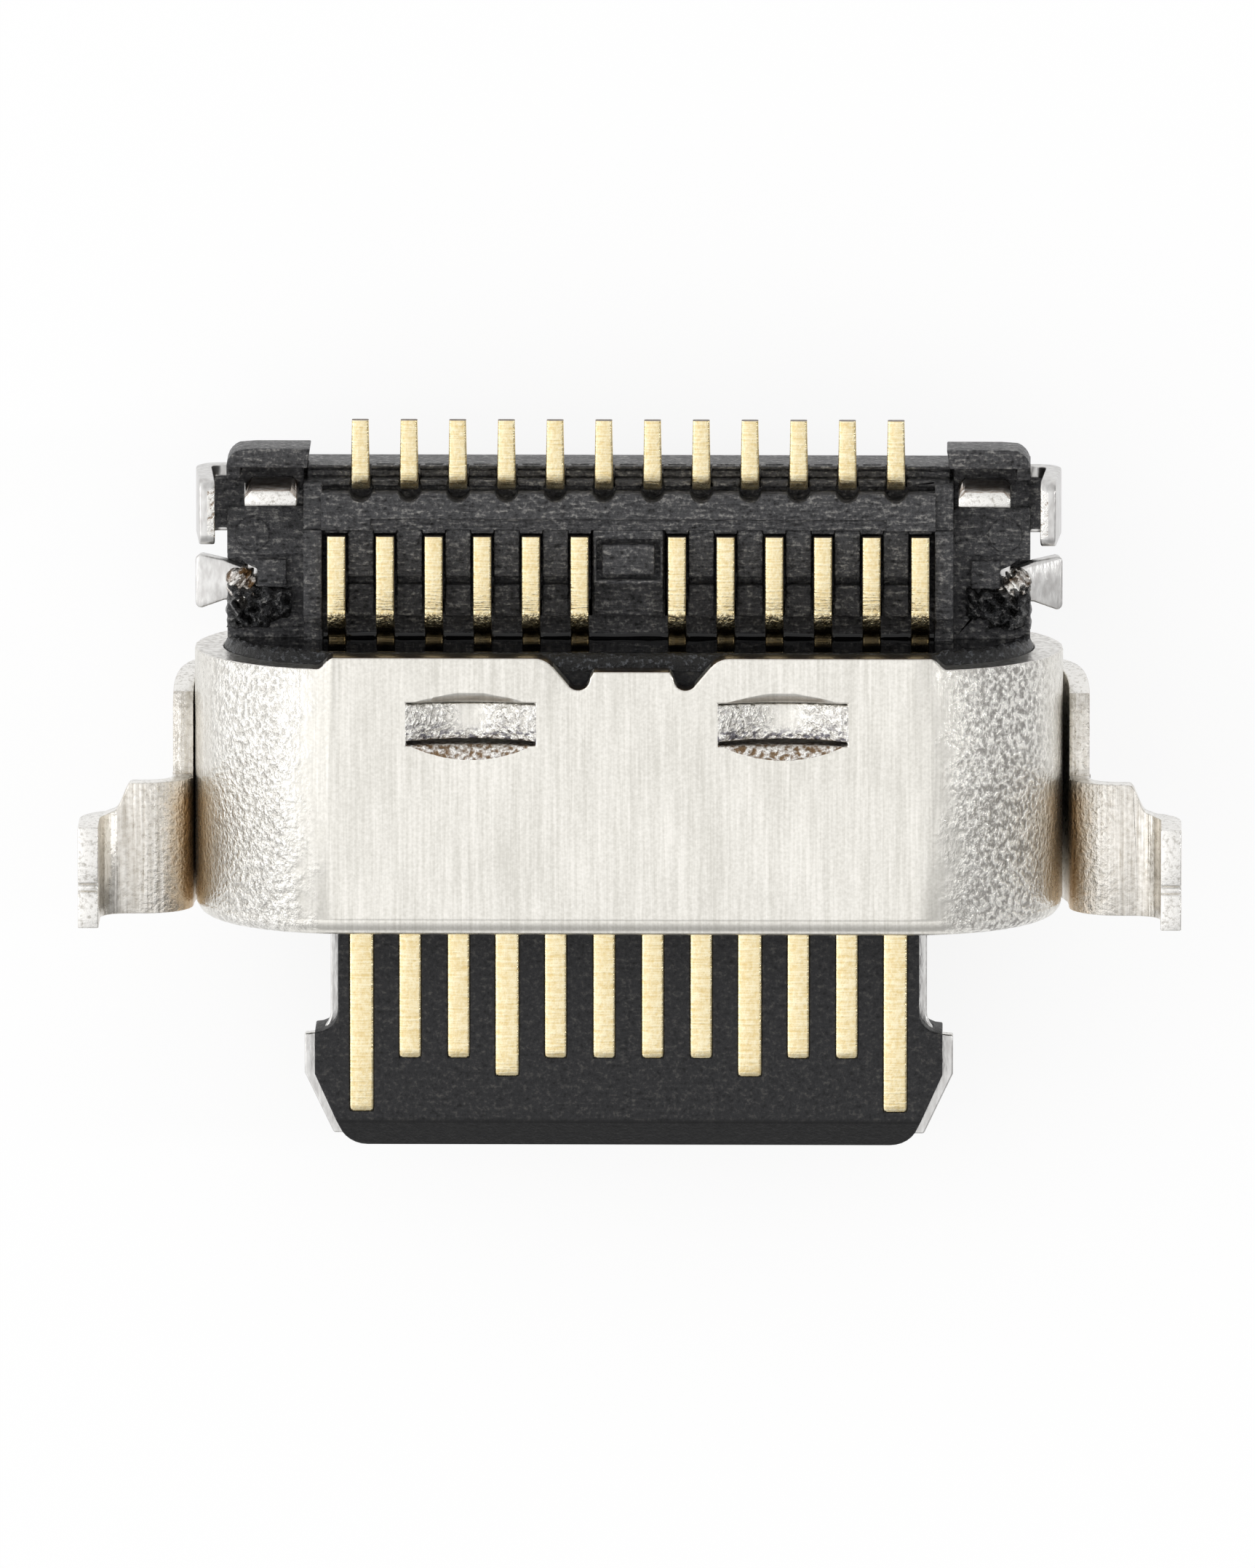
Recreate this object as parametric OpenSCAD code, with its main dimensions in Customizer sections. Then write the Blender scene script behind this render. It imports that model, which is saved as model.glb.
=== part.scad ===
// USB Type-C receptacle for a phone board, mid-mount, with a short drawn shell.
// X runs across the socket, -Y points out of the mouth towards the plug, and +Z
// faces the circuit board. The origin is the centre of the mouth, in the plane of
// the shell's front edge, on the axis along which the plug arrives.

/* [Shell] */
// Width of the mouth inside the shell
mouth_w = 8.34; // [8.3:0.01:8.5]
// Height of the mouth inside the shell
mouth_h = 2.56; // [2.54:0.01:2.7]
// Thickness of the shell's wall
shell_wall = 0.3; // [0.25:0.01:0.36]
// Length of the shell, from its front edge to its plain rear edge
shell_len = 2.78; // [2.7:0.01:3.2]
// How far the two raised stretches of the rear edge stand behind the plain edge
edge_rise = 0.12; // [0.06:0.01:0.2]
// Distance of each rear notch from the middle of the rear edge
edge_notch_x = 0.55; // [0.5:0.01:0.6]
// Rounding of the shell's front edge, outside
rim_round = 0.16; // [0.06:0.01:0.2]
// Distance of each retaining lance from the middle of the shell
lance_x = 1.6; // [1.5:0.01:1.8]
// Length of a retaining lance, across the shell
lance_w = 1.33; // [1.1:0.01:1.4]
// Depth to which the middle of a lance is pressed in
lance_sag = 0.2; // [0.12:0.01:0.26]

/* [Tongue] */
// Width of the tongue over the steel mid plate
tongue_w = 6.69; // [6.67:0.01:6.76]
// Thickness of the tongue over its plastic faces
tongue_t = 0.7; // [0.68:0.01:0.76]
// How far the tongue reaches in front of the shell
tongue_reach = 2.42; // [2.36:0.01:2.6]
// How far the plastic lies inside the edge of the mid plate
skin_inset = 0.11; // [0.08:0.01:0.13]
// Depth of the latch notch in each side of the mid plate
notch_depth = 0.27; // [0.24:0.01:0.29]
// Height of the stepped root of the tongue
root_h = 1.2; // [1.1:0.01:1.4]
// Length of the stepped root of the tongue
root_len = 0.98; // [0.9:0.01:1.1]
// Length of the flange that closes the shell
flange_len = 0.69; // [0.6:0.01:0.75]
// Running gap between the flange and the shell
flange_gap = 0.04; // [0.02:0.01:0.06]

/* [Contacts] */
// Spacing of the contacts in a row
pitch = 0.5; // [0.49:0.005:0.505]
// Width of a signal contact on the tongue
pad_w = 0.23; // [0.2:0.01:0.25]
// Width of a power or ground contact on the tongue
wide_pad_w = 0.25; // [0.2:0.01:0.28]
// Width of a solder tail
tail_w = 0.19; // [0.15:0.01:0.2]
// Thickness of the contact strip
contact_t = 0.12; // [0.1:0.01:0.14]
// How far the contacts stand proud of the tongue
pad_proud = 0.015; // [0.005:0.005:0.03]
// Length of the solder face of the front tails
front_tail_len = 0.8; // [0.7:0.01:0.84]
// How far the rear tails reach behind the body
rear_tail_reach = 0.52; // [0.4:0.01:0.7]

/* [Body] */
// Height of the solder plane above the middle of the tongue
board_z = 0.6; // [0.58:0.01:0.7]
// Length of the body behind the seal
body_len = 1.82; // [1.8:0.01:2]
// Gap on each side between the body and the mouth of the shell, which it passes through
body_gap = 0.04; // [0.02:0.01:0.08]
// Depth of the body below the middle of the tongue
body_below = 0.5; // [0.46:0.01:0.6]
// Thickness of the cured seal behind the flange
seal_t = 0.15; // [0.1:0.01:0.18]

/* [Mid plate] */
// Thickness of the mid plate
plate_t = 0.16; // [0.14:0.01:0.16]
// How far the plate's legs reach past the solder plane
plate_leg_reach = 0.5; // [0.4:0.01:0.8]
// Length of each side leg, along the body
side_leg_len = 0.69; // [0.5:0.01:0.7]
// Width of each corner leg
corner_leg_w = 0.54; // [0.4:0.01:0.56]

/* [Bracket] */
// Thickness of the bracket's sheet
bracket_t = 0.21; // [0.15:0.01:0.25]
// Gap between the bracket and the rounded sides of the shell
bracket_gap = 0.04; // [0.03:0.01:0.06]
// Length of the bracket along the shell
bracket_len = 2.43; // [2.3:0.01:2.6]
// How far each wing reaches outside the bracket's arm
wing_span = 0.94; // [0.9:0.01:1.3]
// Length of a wing at its root
wing_len = 1.366; // [1.3:0.01:1.5]
// Length of a solder leg
wing_leg_len = 1.05; // [0.9:0.01:1.1]
// How far the solder legs reach past the solder plane
wing_leg_reach = 0.9; // [0.6:0.01:1]
// Radius of the bend at the root of a wing, on its solder side
wing_bend = 0.5; // [0.4:0.01:0.5]

/* [Hidden] */
$fn = 64;
contacts_per_row = 12;
eps = 0.01;
plain_nodes = [
    "shell", "bracket", "mid_plate",
    "tongue_overmould", "near_row_mould", "far_row_mould",
    "near_emi_pad", "far_emi_pad", "epoxy_seal"
];

// Shell
shell_w = mouth_w + 2 * shell_wall;
coin_depth = 0.012;
coin_len = 0.2;
shell_h = mouth_h + 2 * shell_wall;
end_x = (mouth_w - mouth_h) / 2;
rim_lead = 0.08;
edge_shift = 0.05;
edge_notch_r = 0.12;
edge_notch_y = shell_len - 0.09;
edge_notch_round = 0.25;
edge_raise_from = 1.0;
edge_raise_to = 3.06;
mid_tab_x = edge_notch_x - edge_notch_r - 0.04;
mid_tab_y = shell_len - 0.02;
lance_front = 0.79;
lance_back = 0.35;
lance_slit_front = 0.04;
lance_slit_back = 0.02;
lance_t = shell_wall - 0.07;
lance_draw_front = 0.15;
lance_draw_back = 0.1;

// Stations along the socket
flange_back = shell_len - 0.06;
seal_back = flange_back + seal_t;
flange_front = flange_back - flange_len;
root_front = flange_front - root_len;
body_back = seal_back + body_len;

// Tongue
plate_half_w = tongue_w / 2;
notch_half_w = plate_half_w - notch_depth;
skin_half_w = plate_half_w - skin_inset;
skin_notch_half_w = notch_half_w - skin_inset + 0.03;
skin_nose_inset = 0.24;
plate_front = tongue_reach - 0.11;
latch_setback = 1.15;
latch_y = tongue_reach - latch_setback;
tip_chamfer_y = 0.27;
tip_chamfer_z = 0.2;
tip_corner = 0.3;
core_front = -1.2;
core_half_w = (contacts_per_row - 1) / 2 * pitch + wide_pad_w / 2 + 0.05;
root_half_w = (contacts_per_row / 2) * pitch + tail_w / 2 + 0.35;
core_top = tongue_t / 2 + 0.05;
core_step = root_front + 0.3;
emi_t = 0.1;

// Contacts
pad_top = tongue_t / 2 + pad_proud;
pad_mid = pad_top - contact_t / 2;
tail_mid = board_z - contact_t / 2;
exit_mid = plate_t / 2 + contact_t / 2 + 0.06;
tail_shift = pitch / 2;
jog_front = root_front + 0.12;
jog_back = root_front + 0.62;
strip_bend = 0.09;
rise_y = seal_back + 0.18;
tail_flat_y = rise_y + strip_bend + contact_t / 2;
front_tail_back = tail_flat_y + front_tail_len;
riser_y = body_back - 0.165;
rear_tail_back = body_back + rear_tail_reach;
short_tip = -(tongue_reach - 0.93);
medium_tip = -(tongue_reach - 0.74);
long_tip = -(tongue_reach - 0.37);
tip_round = 0.035;
tip_dip = 0.05;
tail_taper = 0.009;

// Body
body_w = mouth_w - 2 * body_gap;
plate_top = plate_t / 2;
window_half_w = contacts_per_row / 2 * pitch + 0.16;
side_rib_w = 0.18;
floor_z = plate_top + 0.06;
bar_front = front_tail_back + 0.05;
bar_back = riser_y - 0.09;
bar_z = board_z - 0.1;
bar_step = 0.05;
rib_front = seal_back + 0.26;
rib_back = seal_back + 0.69;
pocket_r = 0.12;
rib_w = pitch - 2 * pocket_r;
guide_top_z = bar_z - 0.08;
guide_mid_z = bar_z - 0.2;
guide_low_z = bar_z - 0.3;
side_floor_z = plate_top + 0.12;
ledge_front = body_back - 0.94;
pin_mark_r = 0.175;
corner_back = body_back + 0.21;
corner_block_x = window_half_w + 0.14;
corner_block_len = 0.2;
corner_wall = 0.14;

// Mid plate legs
leg_tip_z = board_z + plate_leg_reach;
leg_bend = 0.1;
side_leg_x = body_w / 2 + 0.33;
side_leg_front = body_back - 0.71;
leg_lean = 0.07;
leg_round = 0.12;
corner_leg_y = body_back - 0.135;
plate_wide_x = body_w / 2 - 0.2;
corner_leg_x = plate_wide_x - corner_leg_w;
corner_wall_y = corner_leg_y + 0.02;
stub_y = seal_back + 0.57;
stub_root = 0.28;
stub_droop = 8;

// Bracket
bracket_front = 0.067;
bracket_back = bracket_front + bracket_len;
bracket_end_x = end_x + bracket_gap;
bracket_in_r = shell_h / 2;
bracket_wall_x = bracket_end_x + bracket_in_r;
arm_z = board_z - wing_bend;
wing_back = bracket_front + wing_len;
wing_mid_z = board_z - bracket_t / 2;
wing_out_x = bracket_wall_x + bracket_t + wing_span;
wing_leg_x = wing_out_x - bracket_t / 2;
wing_leg_bend = 0.28;
wing_step_x = wing_out_x - 0.53;
tip_nick_r = 0.05;
bracket_shift = 0.025;
wing_leg_tip = board_z + wing_leg_reach;
arm_corner_y = 0.42;
arm_corner_z = 0.95;

steel = "#d6d4cf";
dark_steel = "#bdbab4";
black_resin = "#26262a";
gold = "#e3c277";

// ---- helpers ----

// A 2D shape in X and Z, drawn out from y0 to y1.
module along_y(y0, y1) {
    translate([0, y1, 0]) rotate([90, 0, 0]) linear_extrude(y1 - y0) children();
}

// A 2D shape in Y and Z, drawn out from x0 to x1.
module along_x(x0, x1) {
    translate([x0, 0, 0]) rotate([90, 0, 90]) linear_extrude(x1 - x0) children();
}

// A 2D shape in X and Y, drawn out from z0 to z1.
module along_z(z0, z1) {
    translate([0, 0, z0]) linear_extrude(z1 - z0) children();
}

module block(lo, hi) {
    translate(lo) cube(hi - lo);
}

module both_sides() {
    children();
    mirror([1, 0, 0]) children();
}

module slot_shape(w, h) {
    square([w - h, h], center = true);
    for (s = [-1, 1]) translate([s * (w - h) / 2, 0]) circle(d = h);
}

function unit(v) = v / norm(v);
function left_of(v) = [-v[1], v[0]];
function turned(v, a) = [v[0] * cos(a) - v[1] * sin(a), v[0] * sin(a) + v[1] * cos(a)];

// Points and left normals round one bend of a strip's centre line.
function bend_frames(a, b, c, r) =
    let (
        u = unit(b - a),
        w = unit(c - b),
        side = sign(u[0] * w[1] - u[1] * w[0]),
        angle = acos(u * w),
        centre = b - u * r * tan(angle / 2) + left_of(u) * r * side,
        steps = max(2, ceil(angle / 12))
    )
    [for (k = [0:steps])
        let (n = turned(left_of(u), side * angle * k / steps))
        [centre - n * r * side, n]];

// Outline of a bent strip of thickness t whose centre line follows pts, with one radius for each bend.
function strip(pts, radii, t) =
    let (
        last = len(pts) - 1,
        frames = concat(
            [[pts[0], left_of(unit(pts[1] - pts[0]))]],
            [for (i = [1:last - 1]) each bend_frames(pts[i - 1], pts[i], pts[i + 1], radii[i - 1])],
            [[pts[last], left_of(unit(pts[last] - pts[last - 1]))]]
        )
    )
    concat(
        [for (f = frames) f[0] + f[1] * t / 2],
        [for (i = [len(frames) - 1:-1:0]) frames[i][0] - frames[i][1] * t / 2]
    );

function arc(centre, r, from, to, steps = 8) =
    [for (k = [0:steps])
        let (a = from + (to - from) * k / steps)
        centre + r * [cos(a), sin(a)]];

// A smooth step from p to q, level at both ends.
function ramp(p, q, steps = 8) =
    [for (k = [0:steps])
        let (f = k / steps)
        [p[0] + (q[0] - p[0]) * f, p[1] + (q[1] - p[1]) * (1 - cos(180 * f)) / 2]];

// ---- shell ----

// Section of the wall, with its coined and rounded front edge: distance from an end's axis
// against length.
function wall_section() =
    let (inner = mouth_h / 2, outer = shell_h / 2, back = shell_len + edge_rise)
    concat(
        [[outer, coin_len], [outer - coin_depth, coin_len - 2 * coin_depth]],
        arc([outer - coin_depth - rim_round, rim_round], rim_round, 0, -90, 6),
        arc([inner + rim_lead, rim_lead], rim_lead, -90, -180, 4),
        [[inner, back], [outer, back]]
    );

// The wall is turned round both ends and runs straight between them.
module shell_band() {
    for (s = [0, 1]) mirror([s, 0, 0]) translate([end_x, 0, 0])
        rotate([-90, 0, 0]) rotate([0, 0, -90])
            rotate_extrude(angle = 180) polygon(wall_section());
    for (s = [0, 1]) mirror([0, 0, s]) along_x(-end_x, end_x)
        polygon([for (p = wall_section()) [p[1], p[0]]]);
}

// One side of the board-side rear edge: middle tab, keyhole notch, raised stretch, plain end.
function rear_edge() =
    let (top = shell_len + edge_rise)
    concat(
        [[0, mid_tab_y], [mid_tab_x, mid_tab_y]],
        arc([edge_notch_x, edge_notch_y], edge_notch_r, 180, 320, 10),
        arc([edge_raise_from, top - edge_notch_round], edge_notch_round, 140, 90, 5),
        ramp([edge_raise_to, top], [edge_raise_to + 0.17, shell_len])
    );

module rear_trim() {
    far = shell_w;
    back = shell_len + edge_rise + 1;
    translate([edge_shift, 0, 0]) both_sides() along_z(0, shell_h)
        polygon(concat(rear_edge(), [[far, shell_len], [far, back], [0, back]]));
    block([-far, shell_len, -shell_h], [far, back, 0]);
}

// A slit along each long side frees a strip, which is pressed in as a shallow bow.
module lance_window(x) {
    block(
        [x - lance_w / 2, shell_len - lance_front, mouth_h / 2 - eps],
        [x + lance_w / 2, shell_len - lance_back, shell_h / 2 + eps]
    );
}

// Lens-shaped hollow where the wall beside a slit was drawn down with the strip.
module lance_draw(reach) {
    half = lance_w / 2 - 0.03;
    depth = shell_wall / 3;
    lens_r = (half * half + reach * reach) / (2 * reach);
    intersection() {
        translate([0, lens_r - reach, shell_h / 2 - depth])
            cylinder(h = depth + eps, r1 = lens_r - reach, r2 = lens_r + eps * reach / depth, $fn = 128);
        block([-half, -2 * reach, 0], [half, 2 * eps, shell_h]);
    }
}

module lance_strip(x) {
    half = lance_w / 2;
    bow_r = (half * half + lance_sag * lance_sag) / (2 * lance_sag);
    bow_z = shell_h / 2 - lance_sag + bow_r;
    along_y(shell_len - lance_front + lance_slit_front, shell_len - lance_back - lance_slit_back)
        translate([x, 0]) intersection() {
            difference() {
                translate([0, bow_z]) circle(bow_r + lance_t, $fn = 128);
                translate([0, bow_z]) circle(bow_r, $fn = 128);
            }
            translate([-half - 0.05, 0]) square([lance_w + 0.1, shell_h / 2]);
        }
}

module shell() {
    color(steel) union() {
        difference() {
            shell_band();
            rear_trim();
            for (s = [-1, 1]) {
                lance_window(s * lance_x);
                translate([s * lance_x, shell_len - lance_front, 0]) lance_draw(lance_draw_front);
                translate([s * lance_x, shell_len - lance_back, 0])
                    mirror([0, 1, 0]) lance_draw(lance_draw_back);
            }
        }
        for (s = [-1, 1]) lance_strip(s * lance_x);
    }
}

// ---- bracket ----

// The band that lies on the far side of the shell and wraps up its ends.
module band_shape() {
    outer = bracket_wall_x + bracket_t;
    difference() {
        union() {
            slot_shape(2 * outer, 2 * (bracket_in_r + bracket_t));
            translate([-outer, 0]) square([2 * outer, arm_z]);
        }
        slot_shape(2 * bracket_wall_x, 2 * bracket_in_r);
        translate([-bracket_wall_x, 0]) square([2 * bracket_wall_x, shell_h]);
        translate([-outer - eps, arm_z]) square([2 * outer + 2 * eps, shell_h]);
    }
}

// Side outline of an arm, whose free rear corner is rounded off.
function arm_side() =
    concat(
        [[bracket_front, -shell_h], [bracket_back, -shell_h], [bracket_back, arm_z - arm_corner_z]],
        [for (k = [1:9])
            [bracket_back - arm_corner_y * (1 - cos(10 * k)),
             arm_z - arm_corner_z * (1 - sin(10 * k))]],
        [[bracket_front, arm_z]]
    );

// Plan outline of a wing: full length at the root, shorter at the leg.
function wing_plan() =
    let (
        leg_back = bracket_front + wing_leg_len,
        far = wing_out_x + 1
    )
    concat(
        [[bracket_wall_x - 0.1, bracket_front], [far, bracket_front], [far, leg_back],
         [wing_step_x + 0.28, leg_back]],
        ramp([wing_step_x + 0.18, leg_back + 0.03], [wing_step_x, wing_back]),
        [[bracket_wall_x - 0.1, wing_back]]
    );

module wing() {
    wall_mid = bracket_wall_x + bracket_t / 2;
    profile = strip(
        [[wall_mid, arm_z - 0.2], [wall_mid, wing_mid_z],
         [wing_leg_x, wing_mid_z], [wing_leg_x, wing_leg_tip]],
        [wing_bend - bracket_t / 2, wing_leg_bend + bracket_t / 2],
        bracket_t
    );
    difference() {
        intersection() {
            along_y(bracket_front, wing_back) polygon(profile);
            along_z(-shell_h, shell_h) polygon(wing_plan());
        }
        along_x(wing_out_x - 2 * bracket_t, 2 * wing_out_x)
            translate([bracket_front + wing_leg_len * 0.4, wing_leg_tip]) circle(tip_nick_r, $fn = 24);
    }
}

module arm_fillet() {
    r = 0.14;
    along_x(bracket_wall_x, bracket_wall_x + bracket_t)
        polygon(concat(
            [[wing_back - eps, arm_z - eps], [wing_back + r, arm_z - eps]],
            arc([wing_back + r, arm_z + r], r, 270, 180, 6),
            [[wing_back - eps, arm_z + r]]
        ));
}

module bracket() {
    color(dark_steel) translate([bracket_shift, 0, 0]) union() {
        intersection() {
            along_y(bracket_front, bracket_back) band_shape();
            along_x(-shell_w, shell_w) polygon(arm_side());
        }
        both_sides() {
            wing();
            arm_fillet();
        }
    }
}

// ---- mid plate ----

// Half outline of the blade: nose, latch notch, and the neck through the tongue.
function blade_half() =
    let (y = latch_y, r = 0.22)
    concat(
        [[0, -plate_front], [plate_half_w - 0.3, -plate_front],
         [plate_half_w, -plate_front + 0.63], [plate_half_w, -y]],
        arc([notch_half_w + r, -y + r], r, 270, 180, 6),
        [[notch_half_w, jog_front]]
    );

function mirrored(half) =
    concat(half, [for (i = [len(half) - 1:-1:0]) [-half[i][0], half[i][1]]]);

module plate_blade() {
    neck = root_half_w - 0.15;
    wide = plate_wide_x;
    along_z(-plate_top, plate_top) polygon(mirrored(concat(
        blade_half(),
        [[neck, jog_front + 0.2], [neck, flange_front],
         [wide, flange_front + 0.2], [wide, corner_leg_y - leg_bend - 0.4],
         [0, corner_leg_y - leg_bend - 0.4]]
    )));
}

// The side leg leans in a little towards its tip.
module side_leg() {
    mid = side_leg_x - plate_t / 2;
    y0 = side_leg_front;
    y1 = side_leg_front + side_leg_len;
    r = leg_round;
    intersection() {
        along_y(y0, y1) polygon(strip(
            [[corner_leg_x, 0], [mid, 0], [mid - leg_lean, leg_tip_z]],
            [leg_bend + plate_t / 2], plate_t
        ));
        along_x(0, 2 * side_leg_x) polygon(concat(
            [[y0, -plate_t], [y1, -plate_t]],
            arc([y1 - r, leg_tip_z - r], r, 0, 90, 5),
            arc([y0 + r, leg_tip_z - r], r, 90, 180, 5)
        ));
    }
}

// The corner leg's rear edges are bevelled, where it leads into the board's slot.
module corner_leg() {
    mid = corner_leg_y - plate_t / 2;
    x0 = corner_leg_x;
    x1 = corner_leg_x + corner_leg_w;
    bevel = 0.07;
    intersection() {
        along_x(x0, x1) polygon(strip(
            [[mid - 0.6, 0], [mid, 0], [mid, leg_tip_z]],
            [leg_bend + plate_t / 2], plate_t
        ));
        along_z(-plate_t, 2 * leg_tip_z) polygon([
            [x0, 0], [x1, 0], [x1, corner_leg_y - bevel], [x1 - bevel, corner_leg_y],
            [x0 + bevel, corner_leg_y], [x0, corner_leg_y - bevel]
        ]);
    }
}

// Stub left where the plate was torn off its carrier strip: a ragged neck that flares out into
// a flat face, bent down a little.
module carrier_stub() {
    root_x = body_w / 2 - stub_root;
    reach = side_leg_x - root_x;
    translate([root_x, stub_y, 0]) rotate([0, stub_droop, 0])
        along_z(-plate_top, plate_top) polygon(concat(
            [[-0.2, -0.2], [0, -0.14], [0.1, -0.17], [reach - 0.3, -0.19]],
            arc([reach - 0.06, -0.22], 0.06, 270, 360, 3),
            arc([reach - 0.06, 0.22], 0.06, 0, 90, 3),
            [[reach - 0.3, 0.23], [0.12, 0.16], [0, 0.1], [-0.2, 0.12]]
        ));
}

module mid_plate() {
    color(steel) union() {
        plate_blade();
        both_sides() {
            side_leg();
            corner_leg();
            carrier_stub();
        }
    }
}

// ---- contacts ----

function pad_x(i) = (i - (contacts_per_row + 1) / 2) * pitch;
function is_long(i) = i == 1 || i == contacts_per_row;
function is_medium(i) = i == 4 || i == contacts_per_row - 3;
function tip_y(i) = is_long(i) ? long_tip : is_medium(i) ? medium_tip : short_tip;
function blade_w(i) = is_long(i) || is_medium(i) ? wide_pad_w : pad_w;

// A contact in plan, from its tip on the tongue back to y1. Its tail has moved sideways by
// shift, and narrows by taper on each side from y0 on.
module contact_plan(i, shift, y0, y1, taper) {
    x = pad_x(i);
    tip = tip_y(i);
    p = blade_w(i) / 2;
    t = tail_w / 2;
    polygon(concat(
        arc([x + p - tip_round, tip + tip_round], tip_round, 0, -90, 3),
        arc([x - p + tip_round, tip + tip_round], tip_round, 270, 180, 3),
        [[x - p, jog_front], [x + shift - t, jog_back], [x + shift - t, y0],
         [x + shift - t + taper, y1], [x + shift + t - taper, y1],
         [x + shift + t, y0], [x + shift + t, jog_back], [x + p, jog_front]]
    ));
}

// The near row's tails fan outwards by half a pitch and end in front of the bar.
module near_contact(i) {
    x = pad_x(i);
    color(gold) intersection() {
        along_z(0, 2 * board_z) contact_plan(i, sign(x) * tail_shift, tail_flat_y, front_tail_back, 0);
        along_x(x - pitch, x + pitch) polygon(strip(
            [[tip_y(i), pad_mid - tip_dip], [tip_y(i) + tip_dip, pad_mid],
             [jog_front, pad_mid], [jog_front + 0.2, exit_mid], [rise_y, exit_mid],
             [rise_y, tail_mid], [front_tail_back, tail_mid]],
            [contact_t / 2, strip_bend, strip_bend,
             strip_bend + contact_t / 2, strip_bend + contact_t / 2], contact_t
        ));
    }
}

// The far row's tails keep their places, rise behind the bar and end behind the body.
module far_contact(i) {
    x = pad_x(i);
    color(gold) intersection() {
        along_z(-tongue_t, 2 * board_z) contact_plan(i, 0, body_back, rear_tail_back, tail_taper);
        along_x(x - pitch, x + pitch) polygon(strip(
            [[tip_y(i), tip_dip - pad_mid], [tip_y(i) + tip_dip, -pad_mid], [riser_y, -pad_mid],
             [riser_y, tail_mid], [rear_tail_back, tail_mid]],
            [contact_t / 2, strip_bend + contact_t / 2, strip_bend + contact_t / 2], contact_t
        ));
    }
}

module near_contacts() {
    for (i = [1:contacts_per_row]) near_contact(i);
}

module far_contacts() {
    for (i = [1:contacts_per_row]) far_contact(i);
}

// ---- moulded pieces ----

// The part of a row's moulding that lies inside the overmould, between the mid plate and the
// contacts: narrow in the tongue, wider and thicker in the root.
module row_core() {
    block([-core_half_w, core_front, plate_top], [core_half_w, core_step + eps, pad_top - contact_t]);
    block([-window_half_w, core_step, plate_top], [window_half_w, seal_back, core_top]);
}

module far_row_core() {
    mirror([0, 0, 1]) row_core();
}

function skin_half() =
    let (y = latch_y - 0.06, r = 0.22)
    concat(
        [[0, -tongue_reach]],
        arc([skin_half_w - skin_nose_inset - tip_corner, -tongue_reach + tip_corner], tip_corner, 270, 330, 5),
        [[skin_half_w, -plate_front + 0.66], [skin_half_w, -y]],
        arc([skin_notch_half_w + r, -y + r], r, 270, 180, 6),
        [[skin_notch_half_w, root_front + eps], [0, root_front + eps]]
    );

// Side view of the tongue: flat faces with a bevelled nose.
function nose_side() =
    let (h = tongue_t / 2, y = -tongue_reach)
    [[y, -h + tip_chamfer_z], [y + tip_chamfer_y, -h], [root_front + eps, -h],
     [root_front + eps, h], [y + tip_chamfer_y, h], [y, h - tip_chamfer_z]];

module tongue_skin() {
    intersection() {
        along_z(-tongue_t, tongue_t) polygon(mirrored(skin_half()));
        along_x(-tongue_w, tongue_w) polygon(nose_side());
    }
}

module lance_pocket(x) {
    half = lance_w / 2 + 0.1;
    block(
        [x - half, flange_front - eps, shell_h / 2 - lance_sag - lance_t - 0.04],
        [x + half, shell_len - lance_back + 0.02, shell_h]
    );
}

module flange() {
    along_y(flange_front, flange_back)
        slot_shape(mouth_w - 2 * flange_gap, mouth_h - 2 * flange_gap);
}

module tongue_overmould() {
    color(black_resin) difference() {
        union() {
            tongue_skin();
            block([-root_half_w, root_front, -root_h / 2], [root_half_w, flange_front + eps, root_h / 2]);
            flange();
        }
        row_core();
        far_row_core();
        mid_plate();
        near_contacts();
        far_contacts();
        near_emi_pad();
        far_emi_pad();
        for (s = [-1, 1]) lance_pocket(s * lance_x);
    }
}

// Ribs between the front tails, in two steps, and a shelf under each tail.
module tail_guides() {
    gaps = contacts_per_row / 2 - 1;
    along_z(plate_top, guide_top_z) for (k = [1:gaps], s = [-1, 1])
        translate([s * (k + 0.5) * pitch - rib_w / 2, rib_back]) square([rib_w, bar_front - rib_back]);
    along_z(plate_top, guide_mid_z) for (k = [1:gaps], s = [-1, 1])
        translate([s * (k + 0.5) * pitch - rib_w / 2, rib_front]) square([rib_w, rib_back - 0.1 - rib_front]);
    along_z(plate_top, guide_low_z) for (k = [1:gaps], s = [-1, 1])
        translate([s * (k + 0.5) * pitch - rib_w / 2, rib_front]) square([rib_w, bar_front - rib_front]);
    along_z(plate_top, board_z - contact_t) for (k = [1:gaps + 1], s = [-1, 1])
        translate([s * k * pitch - tail_w / 2, tail_flat_y + 0.1]) square([tail_w, front_tail_len - 0.14]);
}

// Pad between the two inner tails, with a groove round it.
module centre_pad() {
    front = rib_back - 0.06;
    back = bar_front - 0.09;
    half = pitch - pocket_r - 0.02;
    block([-half, rib_front, plate_top], [half, front, bar_z - 0.26]);
    difference() {
        block([-half, front - eps, plate_top], [half, bar_front, bar_z - 0.04]);
        difference() {
            block([-half + 0.03, front + 0.03, guide_mid_z], [half - 0.03, back, bar_z + eps]);
            block([-half + 0.09, front + 0.09, plate_top], [half - 0.09, back - 0.06, bar_z + 2 * eps]);
        }
    }
}

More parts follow.
